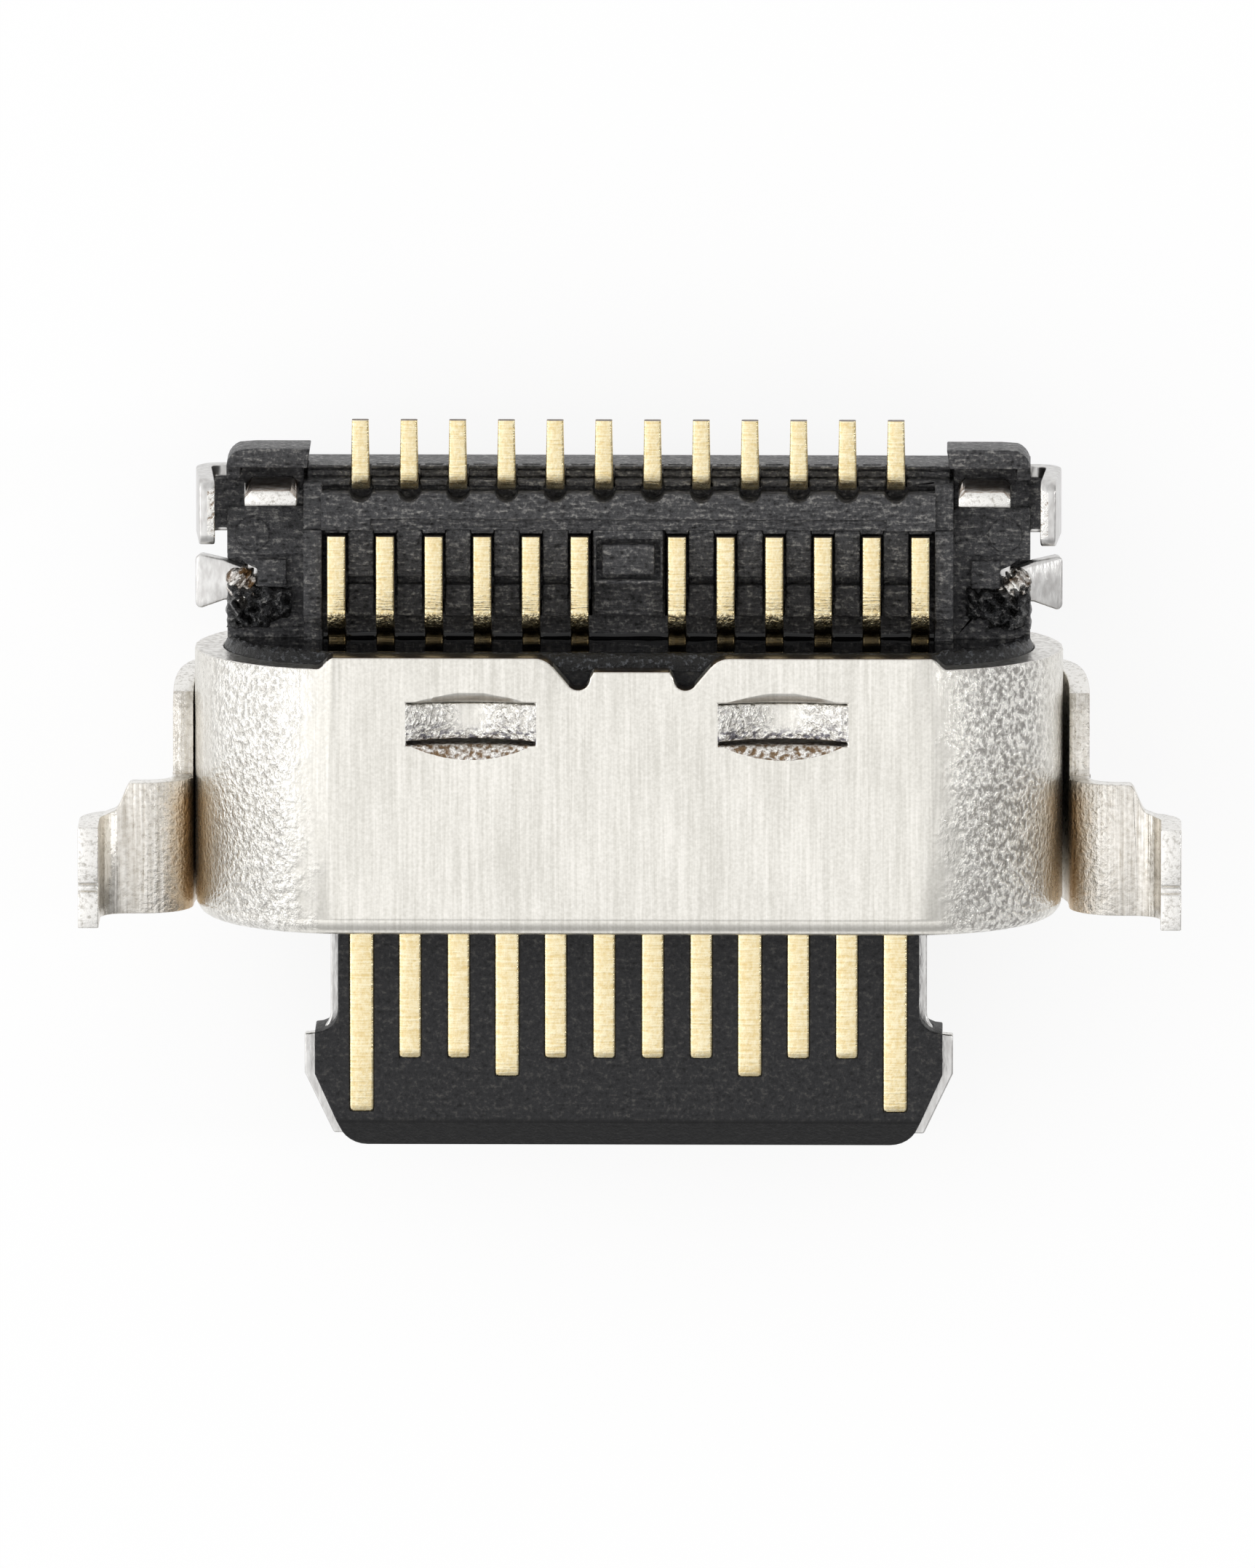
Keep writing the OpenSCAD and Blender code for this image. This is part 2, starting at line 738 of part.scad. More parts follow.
// Resin over the mid plate outside the side ribs: a ledge with an ejector-pin mark, the resin
// round the roots of the legs, and a lower stretch that broke away when the carrier was torn off.
module side_ledges() {
    x0 = window_half_w + side_rib_w;
    x1 = body_w / 2;
    ledge_back = corner_leg_y - plate_t - 0.14;
    low_z = plate_top + 0.05;
    both_sides() {
        block([x0, ledge_front, plate_top], [x1, ledge_back, side_floor_z]);
        block([x0, ledge_back - eps, plate_top], [x1, corner_wall_y, low_z]);
        block([x0, corner_wall_y - eps, plate_top], [x1 - corner_wall, corner_back - corner_block_len, low_z]);
        block([x1 - eps, side_leg_front + 0.04, plate_top],
              [side_leg_x - plate_t - 0.03, corner_wall_y - 0.02, low_z]);
        translate([x1 - 0.26, ledge_front + 0.22, plate_top])
            cylinder(r = pin_mark_r, h = side_floor_z + 0.02 - plate_top);
        block([x0 + 0.18, ledge_front - 0.34, plate_top], [x0 + 0.48, ledge_front - 0.05, side_floor_z]);
        difference() {
            block([x0 - eps, seal_back, plate_top], [x1, ledge_front + eps, low_z]);
            torn_hollow();
        }
    }
}

// Ragged outline round the neck of the carrier stub, where the thin resin is missing.
module torn_hollow() {
    translate([body_w / 2, stub_y, 0]) along_z(plate_top, bar_z) polygon([
        [0.1, -0.17], [-0.06, -0.2], [-0.13, -0.14], [-0.22, -0.18], [-0.3, -0.06],
        [-0.27, 0.05], [-0.33, 0.14], [-0.2, 0.2], [-0.12, 0.27], [0.1, 0.24]
    ]);
}

module side_rib(front, top) {
    block([window_half_w - eps, front, plate_top], [window_half_w + side_rib_w, bar_front, top]);
}

module near_row_mould() {
    color(black_resin) difference() {
        union() {
            row_core();
            block([-window_half_w, seal_back - eps, plate_top], [window_half_w, bar_front, floor_z]);
            tail_guides();
            centre_pad();
            both_sides() {
                side_rib(rib_front, bar_z);
                side_rib(seal_back, guide_mid_z);
            }
            side_ledges();
        }
        near_contacts();
        mid_plate();
    }
}

// The bar with its low front step, and the grooved steps behind it, each a profile pulled
// across. A pocket and a channel clear each riser, a tab meets each front tail, and slots run
// along the top of the rear wall between the tails.
module rear_comb() {
    half = window_half_w;
    wide = corner_block_x;
    step_half = half - pitch;
    low = -plate_top - eps;
    step_z = bar_z - bar_step;
    channel = tail_w / 2 + 0.012;
    wall_z = guide_low_z + 0.04;
    difference() {
        union() {
            along_x(-step_half, step_half) polygon([
                [bar_front, low], [bar_front, step_z], [bar_front + 0.11, step_z],
                [bar_front + 0.12, bar_z], [bar_back, bar_z], [bar_back, low]
            ]);
            both_sides() block([step_half - eps, bar_front, low], [half, bar_back, bar_z]);
            both_sides() block([half - eps, bar_front, low], [half + side_rib_w, bar_back + 0.09, step_z]);
            along_x(-wide, wide) polygon([
                [bar_back - eps, low], [bar_back - eps, guide_low_z], [bar_back + 0.04, guide_low_z],
                [bar_back + 0.05, guide_mid_z], [bar_back + 0.11, guide_mid_z],
                [bar_back + 0.12, guide_low_z - 0.04], [bar_back + 0.14, guide_low_z],
                [body_back - 0.06, guide_low_z], [body_back - 0.05, guide_low_z - 0.04],
                [body_back - 0.03, wall_z], [body_back, wall_z], [body_back, low]
            ]);
            for (k = [1:contacts_per_row / 2], s = [-1, 1])
                block([s * k * pitch - tail_w / 2 - 0.02, front_tail_back + 0.015, floor_z],
                      [s * k * pitch + tail_w / 2 + 0.02, bar_front + eps, step_z]);
        }
        along_z(floor_z, board_z + eps) for (i = [1:contacts_per_row])
            translate([pad_x(i), riser_y - contact_t / 2]) {
                circle(pocket_r, $fn = 32);
                translate([-channel, 0]) square([2 * channel, body_back - riser_y + pitch]);
            }
        for (k = [1 - contacts_per_row / 2:contacts_per_row / 2 - 1])
            block([k * pitch - 0.09, body_back - 0.03, guide_low_z - 0.09],
                  [k * pitch + 0.09, body_back + eps, guide_low_z - 0.01]);
    }
}

// Corner blocks behind the corner legs, with a rounded outer corner and a side wall.
module corner_blocks() {
    x1 = body_w / 2;
    r = 0.2;
    y0 = corner_back - corner_block_len;
    both_sides() {
        along_z(-plate_top, bar_z) polygon(concat(
            [[corner_block_x, y0], [x1, y0]],
            arc([x1 - r, corner_back - r], r, 0, 70, 5),
            [[x1 - 0.3, corner_back], [corner_block_x - 0.03, corner_back]]
        ));
        block([x1 - corner_wall, corner_wall_y, -plate_top - eps], [x1, y0 + eps, bar_z - 0.08]);
        block([corner_block_x, corner_wall_y, -plate_top - eps], [x1, y0 + eps, -plate_top / 2]);
    }
}

module far_row_mould() {
    x1 = body_w / 2;
    color(black_resin) difference() {
        union() {
            far_row_core();
            block([-x1, seal_back, -body_below], [x1, body_back, -plate_top]);
            rear_comb();
            corner_blocks();
        }
        far_contacts();
        mid_plate();
    }
}

// Thin steel shield on the stepped root, folded down over its front.
module near_emi_pad() {
    top = root_h / 2;
    low = pad_top + 0.04;
    half = root_half_w - 0.25;
    color(steel) along_x(-half, half) polygon([
        [root_front, low], [root_front + emi_t, low],
        [root_front + emi_t, top - emi_t], [flange_front, top - emi_t],
        [flange_front, top], [root_front, top]
    ]);
}

module far_emi_pad() {
    mirror([0, 0, 1]) near_emi_pad();
}

// Cured resin that closes the shell behind the flange, round everything that passes through.
module epoxy_seal() {
    color("#101013") difference() {
        along_y(flange_back, seal_back) slot_shape(mouth_w, mouth_h);
        row_core();
        far_row_core();
        near_contacts();
        far_contacts();
        mid_plate();
    }
}

shell();
bracket();
mid_plate();
tongue_overmould();
near_row_mould();
far_row_mould();
near_emi_pad();
far_emi_pad();
epoxy_seal();
for (i = [1:contacts_per_row]) {
    near_contact(i);
    far_contact(i);
}
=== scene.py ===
import math

import bmesh
import bpy
from mathutils import Matrix, Vector, noise


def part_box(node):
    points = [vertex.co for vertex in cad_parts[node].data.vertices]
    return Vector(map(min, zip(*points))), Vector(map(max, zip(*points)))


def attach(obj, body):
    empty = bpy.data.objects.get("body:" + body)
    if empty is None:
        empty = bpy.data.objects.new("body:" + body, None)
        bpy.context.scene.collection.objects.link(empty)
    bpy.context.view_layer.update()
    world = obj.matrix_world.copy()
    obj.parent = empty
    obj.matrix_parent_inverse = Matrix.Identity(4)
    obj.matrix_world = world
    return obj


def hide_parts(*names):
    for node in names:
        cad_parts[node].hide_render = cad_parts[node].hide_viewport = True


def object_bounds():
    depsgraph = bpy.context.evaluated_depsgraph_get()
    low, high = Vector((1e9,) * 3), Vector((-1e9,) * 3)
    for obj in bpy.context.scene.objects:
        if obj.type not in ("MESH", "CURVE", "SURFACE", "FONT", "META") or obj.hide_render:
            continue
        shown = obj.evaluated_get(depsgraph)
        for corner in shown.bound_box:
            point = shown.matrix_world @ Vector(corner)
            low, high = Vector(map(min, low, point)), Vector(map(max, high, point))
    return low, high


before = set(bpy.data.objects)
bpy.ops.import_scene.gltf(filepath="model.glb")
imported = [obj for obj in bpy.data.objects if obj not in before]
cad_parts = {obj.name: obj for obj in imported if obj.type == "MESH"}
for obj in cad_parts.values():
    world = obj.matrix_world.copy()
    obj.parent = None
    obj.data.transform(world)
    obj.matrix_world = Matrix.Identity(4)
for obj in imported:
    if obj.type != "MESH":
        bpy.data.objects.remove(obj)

# A reversible 24-contact socket for a phone board. X runs across it, -Y out of its mouth, and +Z
# to the board.
mm = 0.001
cadLow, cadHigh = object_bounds()
wholeBody = "root"  # nothing on the socket moves


def linear(hexText):
    parts = [int(hexText[i:i + 2], 16) / 255 for i in (1, 3, 5)]
    return tuple(c / 12.92 if c <= 0.04045 else ((c + 0.055) / 1.055) ** 2.4 for c in parts) + (1.0,)


def addNode(tree, kind, inputs=(), output=0, **settings):
    # inputs are values or other nodes' outputs, in order or by name, and one output comes back
    node = tree.nodes.new(kind)
    for name, value in settings.items():
        setattr(node, name, value)
    for name, value in inputs.items() if isinstance(inputs, dict) else enumerate(inputs):
        if isinstance(value, bpy.types.NodeSocket):
            tree.links.new(value, node.inputs[name])
        else:
            node.inputs[name].default_value = value
    return node.outputs[output] if node.outputs else node


def overlap(tree, masks):
    # where all the masks meet
    total = masks[0]
    for mask in masks[1:]:
        total = addNode(tree, "ShaderNodeMath", (total, mask), operation="MULTIPLY")
    return total


def addUp(tree, parts):
    # the sum of the patterns, each times its share
    total = None
    for pattern, share in parts:
        part = overlap(tree, [pattern, share])
        total = part if total is None else addNode(tree, "ShaderNodeMath", (total, part), operation="ADD")
    return total


def layColours(tree, base, layers):
    # a colour with others laid over it, each by its own mask
    colour = linear(base) if isinstance(base, str) else base
    for mask, over in layers:
        over = linear(over) if isinstance(over, str) else over
        # inputs 6 and 7 and output 2 are the mix's colours
        colour = addNode(tree, "ShaderNodeMix", {0: mask, 6: colour, 7: over}, 2, data_type="RGBA")
    return colour


def placeAlong(tree, axis):
    # position on the part along one axis, in millimetres
    place = addNode(tree, "ShaderNodeTexCoord", output="Object")
    value = addNode(tree, "ShaderNodeSeparateXYZ", (place,), axis)
    return addNode(tree, "ShaderNodeMath", (value, mm), operation="DIVIDE")


def fromMiddle(tree):
    return addNode(tree, "ShaderNodeMath", (placeAlong(tree, "X"),), operation="ABSOLUTE")


def cloud(tree, sizes, detail=2.0, roughness=0.5):
    # noise whose grains have these sizes in millimetres along X, Y and Z
    place = addNode(tree, "ShaderNodeTexCoord", output="Object")
    scale = tuple(1 / (size * mm) for size in sizes)
    place = addNode(tree, "ShaderNodeMapping", {"Vector": place, "Scale": scale})
    return addNode(tree, "ShaderNodeTexNoise", {
        "Vector": place, "Scale": 1.0, "Detail": detail, "Roughness": roughness}, "Fac")


def newFinish(name, roughness, metal=0.0):
    material = bpy.data.materials.new(name)
    material.use_nodes = True
    shader = material.node_tree.nodes["Principled BSDF"]
    shader.inputs["Metallic"].default_value = metal
    shader.inputs["Roughness"].default_value = roughness
    return material, material.node_tree, shader


def setRelief(tree, shader, layers):
    # each layer is a height from 0 to 1 and its depth in millimetres
    normal = None
    for height, depth in layers:
        inputs = {"Height": height, "Distance": depth * mm}
        if normal is not None:
            inputs["Normal"] = normal
        normal = addNode(tree, "ShaderNodeBump", inputs)
    tree.links.new(normal, shader.inputs["Normal"])


# Drawn nickel-plated steel: satin, with fine lines along the draw on the flats, and an
# orange-peel skin where the sheet was stretched round the bends.
# the darker peel colour of the +X bend, and the span it darkens over, are painted shade
drawnSteel = {
    "dark": "#d6d3cb", "light": "#f1eee7", "lineWidth": 0.03, "lineLength": 1.0, "lineDepth": 0.0025,
    "peelDark": "#cdcac4", "peelShade": "#a3a09b", "peelLight": "#f8f6f1", "peelSize": 0.052, "peelDepth": 0.045,
    "shadedFrom": 2.95, "shadedFull": 3.8, "peelFrom": 3.1, "peelFull": 3.75, "peelFades": 4.05, "peelEnds": 4.4,
    "lanceFrom": 0.93, "lanceTo": 2.27, "lanceFront": 1.98, "lanceBack": 2.42, "crest": 1.62, "nick": "#77747a",
}


def makeDrawnSteel():
    size = drawnSteel
    material, tree, shader = newFinish("drawnNickelSteel", 0.3, 1.0)
    lines = cloud(tree, (size["lineWidth"], size["lineLength"], size["lineLength"]), 3.0)
    grain = cloud(tree, (0.03, 0.03, 0.03))
    drift = cloud(tree, (0.5, 1.2, 0.5))
    x, y = fromMiddle(tree), placeAlong(tree, "Y")
    ragged = overlap(tree, [cloud(tree, (0.25, 0.25, 0.25)), 0.5])
    ragged = addNode(tree, "ShaderNodeMath", (x, ragged), operation="ADD")
    ragged = addNode(tree, "ShaderNodeMath", (ragged, 0.25), operation="SUBTRACT")
    stretched = overlap(tree, [
        addNode(tree, "ShaderNodeMapRange", (ragged, size["peelFrom"], size["peelFull"]),
                interpolation_type="SMOOTHSTEP"),
        addNode(tree, "ShaderNodeMapRange", (x, size["peelFades"], size["peelEnds"], 1.0, 0.25),
                interpolation_type="SMOOTHSTEP")])
    # the lances were stretched too, so their skin is as coarse, but smooth along the crest
    aside = addNode(tree, "ShaderNodeMath", (x, size["crest"]), operation="SUBTRACT")
    aside = addNode(tree, "ShaderNodeMath", (aside,), operation="ABSOLUTE")
    coarse = addNode(tree, "ShaderNodeMath", (
        addNode(tree, "ShaderNodeMapRange", (aside, 0.06, 0.3, 0.1, 1.0)),
        addNode(tree, "ShaderNodeMapRange", (y, 2.2, 2.08))), operation="MAXIMUM")
    lance = overlap(tree, [
        addNode(tree, "ShaderNodeMath", (x, size["lanceFrom"]), operation="GREATER_THAN"),
        addNode(tree, "ShaderNodeMath", (x, size["lanceTo"]), operation="LESS_THAN"),
        addNode(tree, "ShaderNodeMath", (y, size["lanceFront"]), operation="GREATER_THAN"),
        addNode(tree, "ShaderNodeMath", (y, size["lanceBack"]), operation="LESS_THAN"), coarse])
    stretched = addNode(tree, "ShaderNodeMath", (stretched, lance), operation="MAXIMUM")
    peel = cloud(tree, (size["peelSize"], size["peelSize"] * 1.3, size["peelSize"]), 3.0, 0.6)
    tone = addUp(tree, [(lines, 0.45), (grain, 0.35), (drift, 0.2)])
    # painted shade: the peel on the +X bend is painted darker, more so further out
    shadedSide = addNode(tree, "ShaderNodeMapRange", (placeAlong(tree, "X"), size["shadedFrom"], size["shadedFull"]))
    hammered = layColours(tree, size["peelDark"], [
        (shadedSide, size["peelShade"]), (addNode(tree, "ShaderNodeMapRange", (peel, 0.4, 0.58)), size["peelLight"])])
    nicks = overlap(tree, [
        overlap(tree, [lance, addNode(tree, "ShaderNodeMapRange", (y, 2.22, 2.1, 0.25, 1.0))]),
        addNode(tree, "ShaderNodeMapRange", (cloud(tree, (0.07, 0.05, 0.07), 3.0), 0.5, 0.6))])
    colour = layColours(tree, size["dark"], [
        (addNode(tree, "ShaderNodeMapRange", (tone, 0.38, 0.62)), size["light"]),
        (stretched, hammered), (nicks, size["nick"])])
    tree.links.new(colour, shader.inputs["Base Color"])
    satin = addNode(tree, "ShaderNodeMapRange", (tone, 0.3, 0.7, 0.34, 0.26))
    satin = addNode(tree, "ShaderNodeMath", (satin, overlap(tree, [stretched, -0.1])), operation="ADD")
    tree.links.new(satin, shader.inputs["Roughness"])
    flat = addNode(tree, "ShaderNodeMath", (1.0, stretched), operation="SUBTRACT")
    setRelief(tree, shader, [
        (overlap(tree, [lines, flat]), size["lineDepth"]), (overlap(tree, [peel, stretched]), size["peelDepth"])])
    return material


# Stamped nickel-plated steel: greyer and rougher, pebbled on the outer bend, and drawn into
# lines along the hollow bend.
stampedSteel = {
    "dark": "#c3bdb3", "light": "#f2eee7", "warm": "#caa877", "lineWidth": 0.04, "lineDepth": 0.012,
    "pebbleSize": 0.06, "pebbleDepth": 0.03, "pebbleFrom": 4.5, "pebbleFull": 4.62, "pebbleFades": 4.8,
    "pebbleEnds": 5.1, "warmFrom": 4.35, "warmEnds": 4.7, "warmest": 0.8, "warmAbove": -0.4, "warmBefore": 1.5,
}


def makeStampedSteel():
    size = stampedSteel
    material, tree, shader = newFinish("stampedNickelSteel", 0.32, 1.0)
    lines = cloud(tree, (size["lineWidth"], 1.4, 0.6), 2.0)
    pebbles = cloud(tree, (size["pebbleSize"],) * 3, 3.0, 0.6)
    x = fromMiddle(tree)
    bent = overlap(tree, [
        addNode(tree, "ShaderNodeMapRange", (x, size["pebbleFrom"], size["pebbleFull"], 0.3),
                interpolation_type="SMOOTHSTEP"),
        addNode(tree, "ShaderNodeMapRange", (x, size["pebbleFades"], size["pebbleEnds"], 1.0, 0.15),
                interpolation_type="SMOOTHSTEP")])
    tone = addUp(tree, [(lines, 0.5), (pebbles, 0.5)])
    # the plating is thinner and warmer where the wing leaves the wall
    ragged = addNode(tree, "ShaderNodeMath", (x, overlap(tree, [pebbles, -0.3])), operation="ADD")
    high, far = size["warmAbove"], size["warmBefore"]
    warmth = overlap(tree, [
        addNode(tree, "ShaderNodeMapRange", (ragged, size["warmFrom"], size["warmEnds"], size["warmest"], 0.0),
                interpolation_type="SMOOTHSTEP"),
        addNode(tree, "ShaderNodeMapRange", (placeAlong(tree, "Z"), high, high + 0.5)),
        addNode(tree, "ShaderNodeMapRange", (placeAlong(tree, "Y"), far, far - 0.3))])
    colour = layColours(tree, size["dark"], [
        (addNode(tree, "ShaderNodeMapRange", (tone, 0.38, 0.6)), size["light"]), (warmth, size["warm"])])
    tree.links.new(colour, shader.inputs["Base Color"])
    tree.links.new(
        addNode(tree, "ShaderNodeMapRange", (pebbles, 0.3, 0.7, 0.24, 0.36)), shader.inputs["Roughness"])
    setRelief(tree, shader, [(lines, size["lineDepth"]), (overlap(tree, [pebbles, bent]), size["pebbleDepth"])])
    return material


# Plain grained metals: a grain of this size and depth, between two colours. The strip is
# bright rolled steel, and the tails' sheared ends show the grey-brown of the copper alloy.
rolledSteel = {"dark": "#c4c2c0", "light": "#dcdbd9", "grain": (0.05, 0.14, 0.05), "depth": 0.005}
cutCopper = {"dark": "#4a3c33", "light": "#85776a", "grain": (0.03, 0.03, 0.03)}


def makeGrainedMetal(name, size, roughness):
    material, tree, shader = newFinish(name, roughness, 1.0)
    grain = cloud(tree, size["grain"], 3.0)
    fade = addNode(tree, "ShaderNodeMapRange", (grain, 0.35, 0.65))
    tree.links.new(layColours(tree, size["dark"], [(fade, size["light"])]), shader.inputs["Base Color"])
    if "depth" in size:
        setRelief(tree, shader, [(grain, size["depth"])])
    return material


def makeTornSteel(name, pit, grainSize, depth, low=0.38, high=0.52):
    # sheared or torn steel: bright tears beside dark pits
    material, tree, shader = newFinish(name, 0.26, 1.0)
    grain = cloud(tree, (grainSize,) * 3, 4.0, 0.65)
    fade = addNode(tree, "ShaderNodeMapRange", (grain, low, high))
    tree.links.new(layColours(tree, pit, [(fade, "#f0eeea")]), shader.inputs["Base Color"])
    setRelief(tree, shader, [(grain, depth)])
    return material


# The shell's sheared rear rim, with a painted shadow of the gap in dark brown along the straight part beside the
# resin.
shellRim = {"dark": "#bdb9b3", "light": "#f0eeea", "brown": "#4b3725", "brownFades": 3.1, "brownEnds": 3.25}


def makeRimSteel():
    size = shellRim
    material, tree, shader = newFinish("shearedShellRim", 0.3, 1.0)
    grain = cloud(tree, (0.05, 0.05, 0.05), 3.0)
    fade = addNode(tree, "ShaderNodeMapRange", (grain, 0.35, 0.6))
    # painted shadow: the gap beside the resin, painted dark brown along the straight part of the rim
    brown = addNode(
        tree, "ShaderNodeMapRange", (fromMiddle(tree), size["brownFades"], size["brownEnds"], 0.85, 0.0))
    colour = layColours(tree, size["dark"], [(fade, size["light"]), (brown, size["brown"])])
    tree.links.new(colour, shader.inputs["Base Color"])
    setRelief(tree, shader, [(grain, 0.006)])
    return material


# Flash gold over nickel on rolled copper alloy: pale, with fine marks across the blades.
# the dark colour is painted: a painted reflection on the bend and painted shade beside the seal
flashGold = {
    "dark": "#e2ca92", "light": "#f9edc8", "paintedDark": "#4a3614", "markWidth": 0.02, "markDepth": 0.003,
    "bendFrom": 2.95, "bendTo": 3.24, "bendDepth": 0.018, "sealShadeFrom": 2.8, "sealShadeTo": 3.06,
}


def makeFlashGold():
    size = flashGold
    material, tree, shader = newFinish("flashGoldContact", 0.24, 1.0)
    marks = cloud(tree, (0.3, size["markWidth"], 0.3), 3.0)
    grain = cloud(tree, (0.035, 0.05, 0.035), 3.0, 0.6)
    tone = addUp(tree, [(marks, 0.5), (grain, 0.5)])
    tree.links.new(addNode(tree, "ShaderNodeMapRange", (tone, 0.3, 0.7, 0.2, 0.3)), shader.inputs["Roughness"])
    # the skin is coarser where the strip was bent up at the seal, and the dark mottling painted there is a painted
    # reflection of the black body
    y = placeAlong(tree, "Y")
    bend = overlap(tree, [
        addNode(tree, "ShaderNodeMapRange", (y, size["bendFrom"], size["bendFrom"] + 0.05),
                interpolation_type="SMOOTHSTEP"),
        addNode(tree, "ShaderNodeMapRange", (y, size["bendTo"] - 0.06, size["bendTo"], 1.0, 0.0),
                interpolation_type="SMOOTHSTEP")])
    peel = cloud(tree, (0.04, 0.04, 0.04), 3.0, 0.6)
    paintedDark = overlap(tree, [bend, addNode(tree, "ShaderNodeMapRange", (peel, 0.46, 0.56))])
    # painted shade along the strip where it runs down beside the seal
    sealShade = overlap(tree, [
        addNode(tree, "ShaderNodeMapRange", (y, size["sealShadeTo"], size["sealShadeTo"] - 0.04)),
        addNode(tree, "ShaderNodeMapRange", (y, size["sealShadeFrom"], size["sealShadeFrom"] + 0.02))])
    paintedDark = addNode(tree, "ShaderNodeMath", (
        overlap(tree, [paintedDark, 0.75]), overlap(tree, [sealShade, 0.85])), operation="MAXIMUM")
    colour = layColours(tree, size["dark"], [
        (addNode(tree, "ShaderNodeMapRange", (tone, 0.36, 0.6)), size["light"]), (paintedDark, size["paintedDark"])])
    tree.links.new(colour, shader.inputs["Base Color"])
    setRelief(tree, shader, [
        (marks, size["markDepth"]), (grain, 0.004), (overlap(tree, [peel, bend]), size["bendDepth"])])
    return material


# Glass-filled liquid crystal polymer: black and matt, with the mould's marks across the body
# and short glass fibres that show as faint specks.
bodyPolymer = {
    "pit": "#060607", "skin": "#474749", "rub": "#a09e9a", "ridge": (0.16, 0.035, 0.035), "ridgeDepth": 0.024,
    "grainSize": 0.045, "grainDepth": 0.03, "sheen": 0.4,
}
tonguePolymer = {
    "pit": "#0c0c0d", "skin": "#242426", "rub": "#4c4a47", "ridge": (0.09, 0.07, 0.07), "ridgeDepth": 0.006,
    "grainSize": 0.035, "grainDepth": 0.01, "sheen": 0.3, "bevelFrom": -2.1, "bevelFull": -2.14,
}
# broken polymer is glossier, with painted shade in its hollows and bright flecks that are partly painted highlights
# on its crests
brokenPolymer = {
    "pit": "#020202", "skin": "#3a3b3d", "rub": "#a5a3a0", "ridge": (0.06, 0.05, 0.05), "ridgeDepth": 0.03,
    "grainSize": 0.07, "grainDepth": 0.05, "sheen": 0.8, "lowest": 0.19, "crest": 0.3,
}


def makePolymer(name, size, roughness):
    material, tree, shader = newFinish(name, roughness)
    ridges = cloud(tree, size["ridge"], 3.0, 0.6)
    grain = cloud(tree, (size["grainSize"],) * 3, 4.0, 0.7)
    tone = addUp(tree, [(ridges, 0.45), (grain, 0.55)])
    colour = layColours(tree, size["pit"], [
        (addNode(tree, "ShaderNodeMapRange", (tone, 0.36, 0.48)), size["skin"]),
        (addNode(tree, "ShaderNodeMapRange", (tone, 0.52, 0.66)), size["rub"])])
    if "crest" in size:  # painted shade: the hollows of a break are painted black
        height = addNode(tree, "ShaderNodeMapRange", (placeAlong(tree, "Z"), size["lowest"], size["crest"]))
        colour = layColours(tree, size["pit"], [(height, colour)])
    if "bevelFrom" in size:  # the front bevel of the tongue is coloured darker
        bevel = addNode(
            tree, "ShaderNodeMapRange", (placeAlong(tree, "Y"), size["bevelFull"], size["bevelFrom"], 0.92, 0.0))
        colour = layColours(tree, colour, [(bevel, size["pit"])])
    tree.links.new(colour, shader.inputs["Base Color"])
    shader.inputs["Specular IOR Level"].default_value = size["sheen"]
    tree.links.new(
        addNode(tree, "ShaderNodeMapRange", (tone, 0.35, 0.65, roughness + 0.1, roughness - 0.1)),
        shader.inputs["Roughness"])
    setRelief(tree, shader, [(ridges, size["ridgeDepth"]), (grain, size["grainDepth"])])
    return material


# Cured epoxy: glossy black in the middle, with slow waves, and a rough matt rim.
curedEpoxy = {
    "colour": "#060607", "rim": "#54565a", "waveSize": 0.5, "waveDepth": 0.012,
    "endX": 2.89, "rimFrom": 1.1, "rimFull": 1.2, "rimDepth": 0.05,
}


def makeEpoxy():
    size = curedEpoxy
    material, tree, shader = newFinish("curedBlackEpoxy", 0.09)
    shader.inputs["Specular IOR Level"].default_value = 0.4
    waves = cloud(tree, (size["waveSize"],) * 3)
    grain = cloud(tree, (0.05, 0.05, 0.05), 4.0, 0.65)
    # the rim follows the shell's wall, round the ends of the opening
    aside = addNode(tree, "ShaderNodeMath", (fromMiddle(tree), size["endX"]), operation="SUBTRACT")
    aside = addNode(tree, "ShaderNodeMath", (aside, 0.0), operation="MAXIMUM")
    away = addNode(tree, "ShaderNodeMath", (
        addNode(tree, "ShaderNodeMath", (aside, 2.0), operation="POWER"),
        addNode(tree, "ShaderNodeMath", (placeAlong(tree, "Z"), 2.0), operation="POWER")), operation="ADD")
    away = addNode(tree, "ShaderNodeMath", (away,), operation="SQRT")
    away = addNode(tree, "ShaderNodeMath", (away, overlap(tree, [grain, 0.1])), operation="ADD")
    rim = addNode(tree, "ShaderNodeMapRange", (away, size["rimFrom"], size["rimFull"]),
                  interpolation_type="SMOOTHSTEP")
    speckled = overlap(tree, [rim, addNode(tree, "ShaderNodeMapRange", (grain, 0.53, 0.66))])
    tree.links.new(layColours(tree, size["colour"], [(speckled, size["rim"])]), shader.inputs["Base Color"])
    matt = addNode(tree, "ShaderNodeMath", (0.06, overlap(tree, [rim, 0.26])), operation="ADD")
    tree.links.new(matt, shader.inputs["Roughness"])
    setRelief(tree, shader, [(waves, size["waveDepth"]), (overlap(tree, [grain, rim]), size["rimDepth"])])
    return material


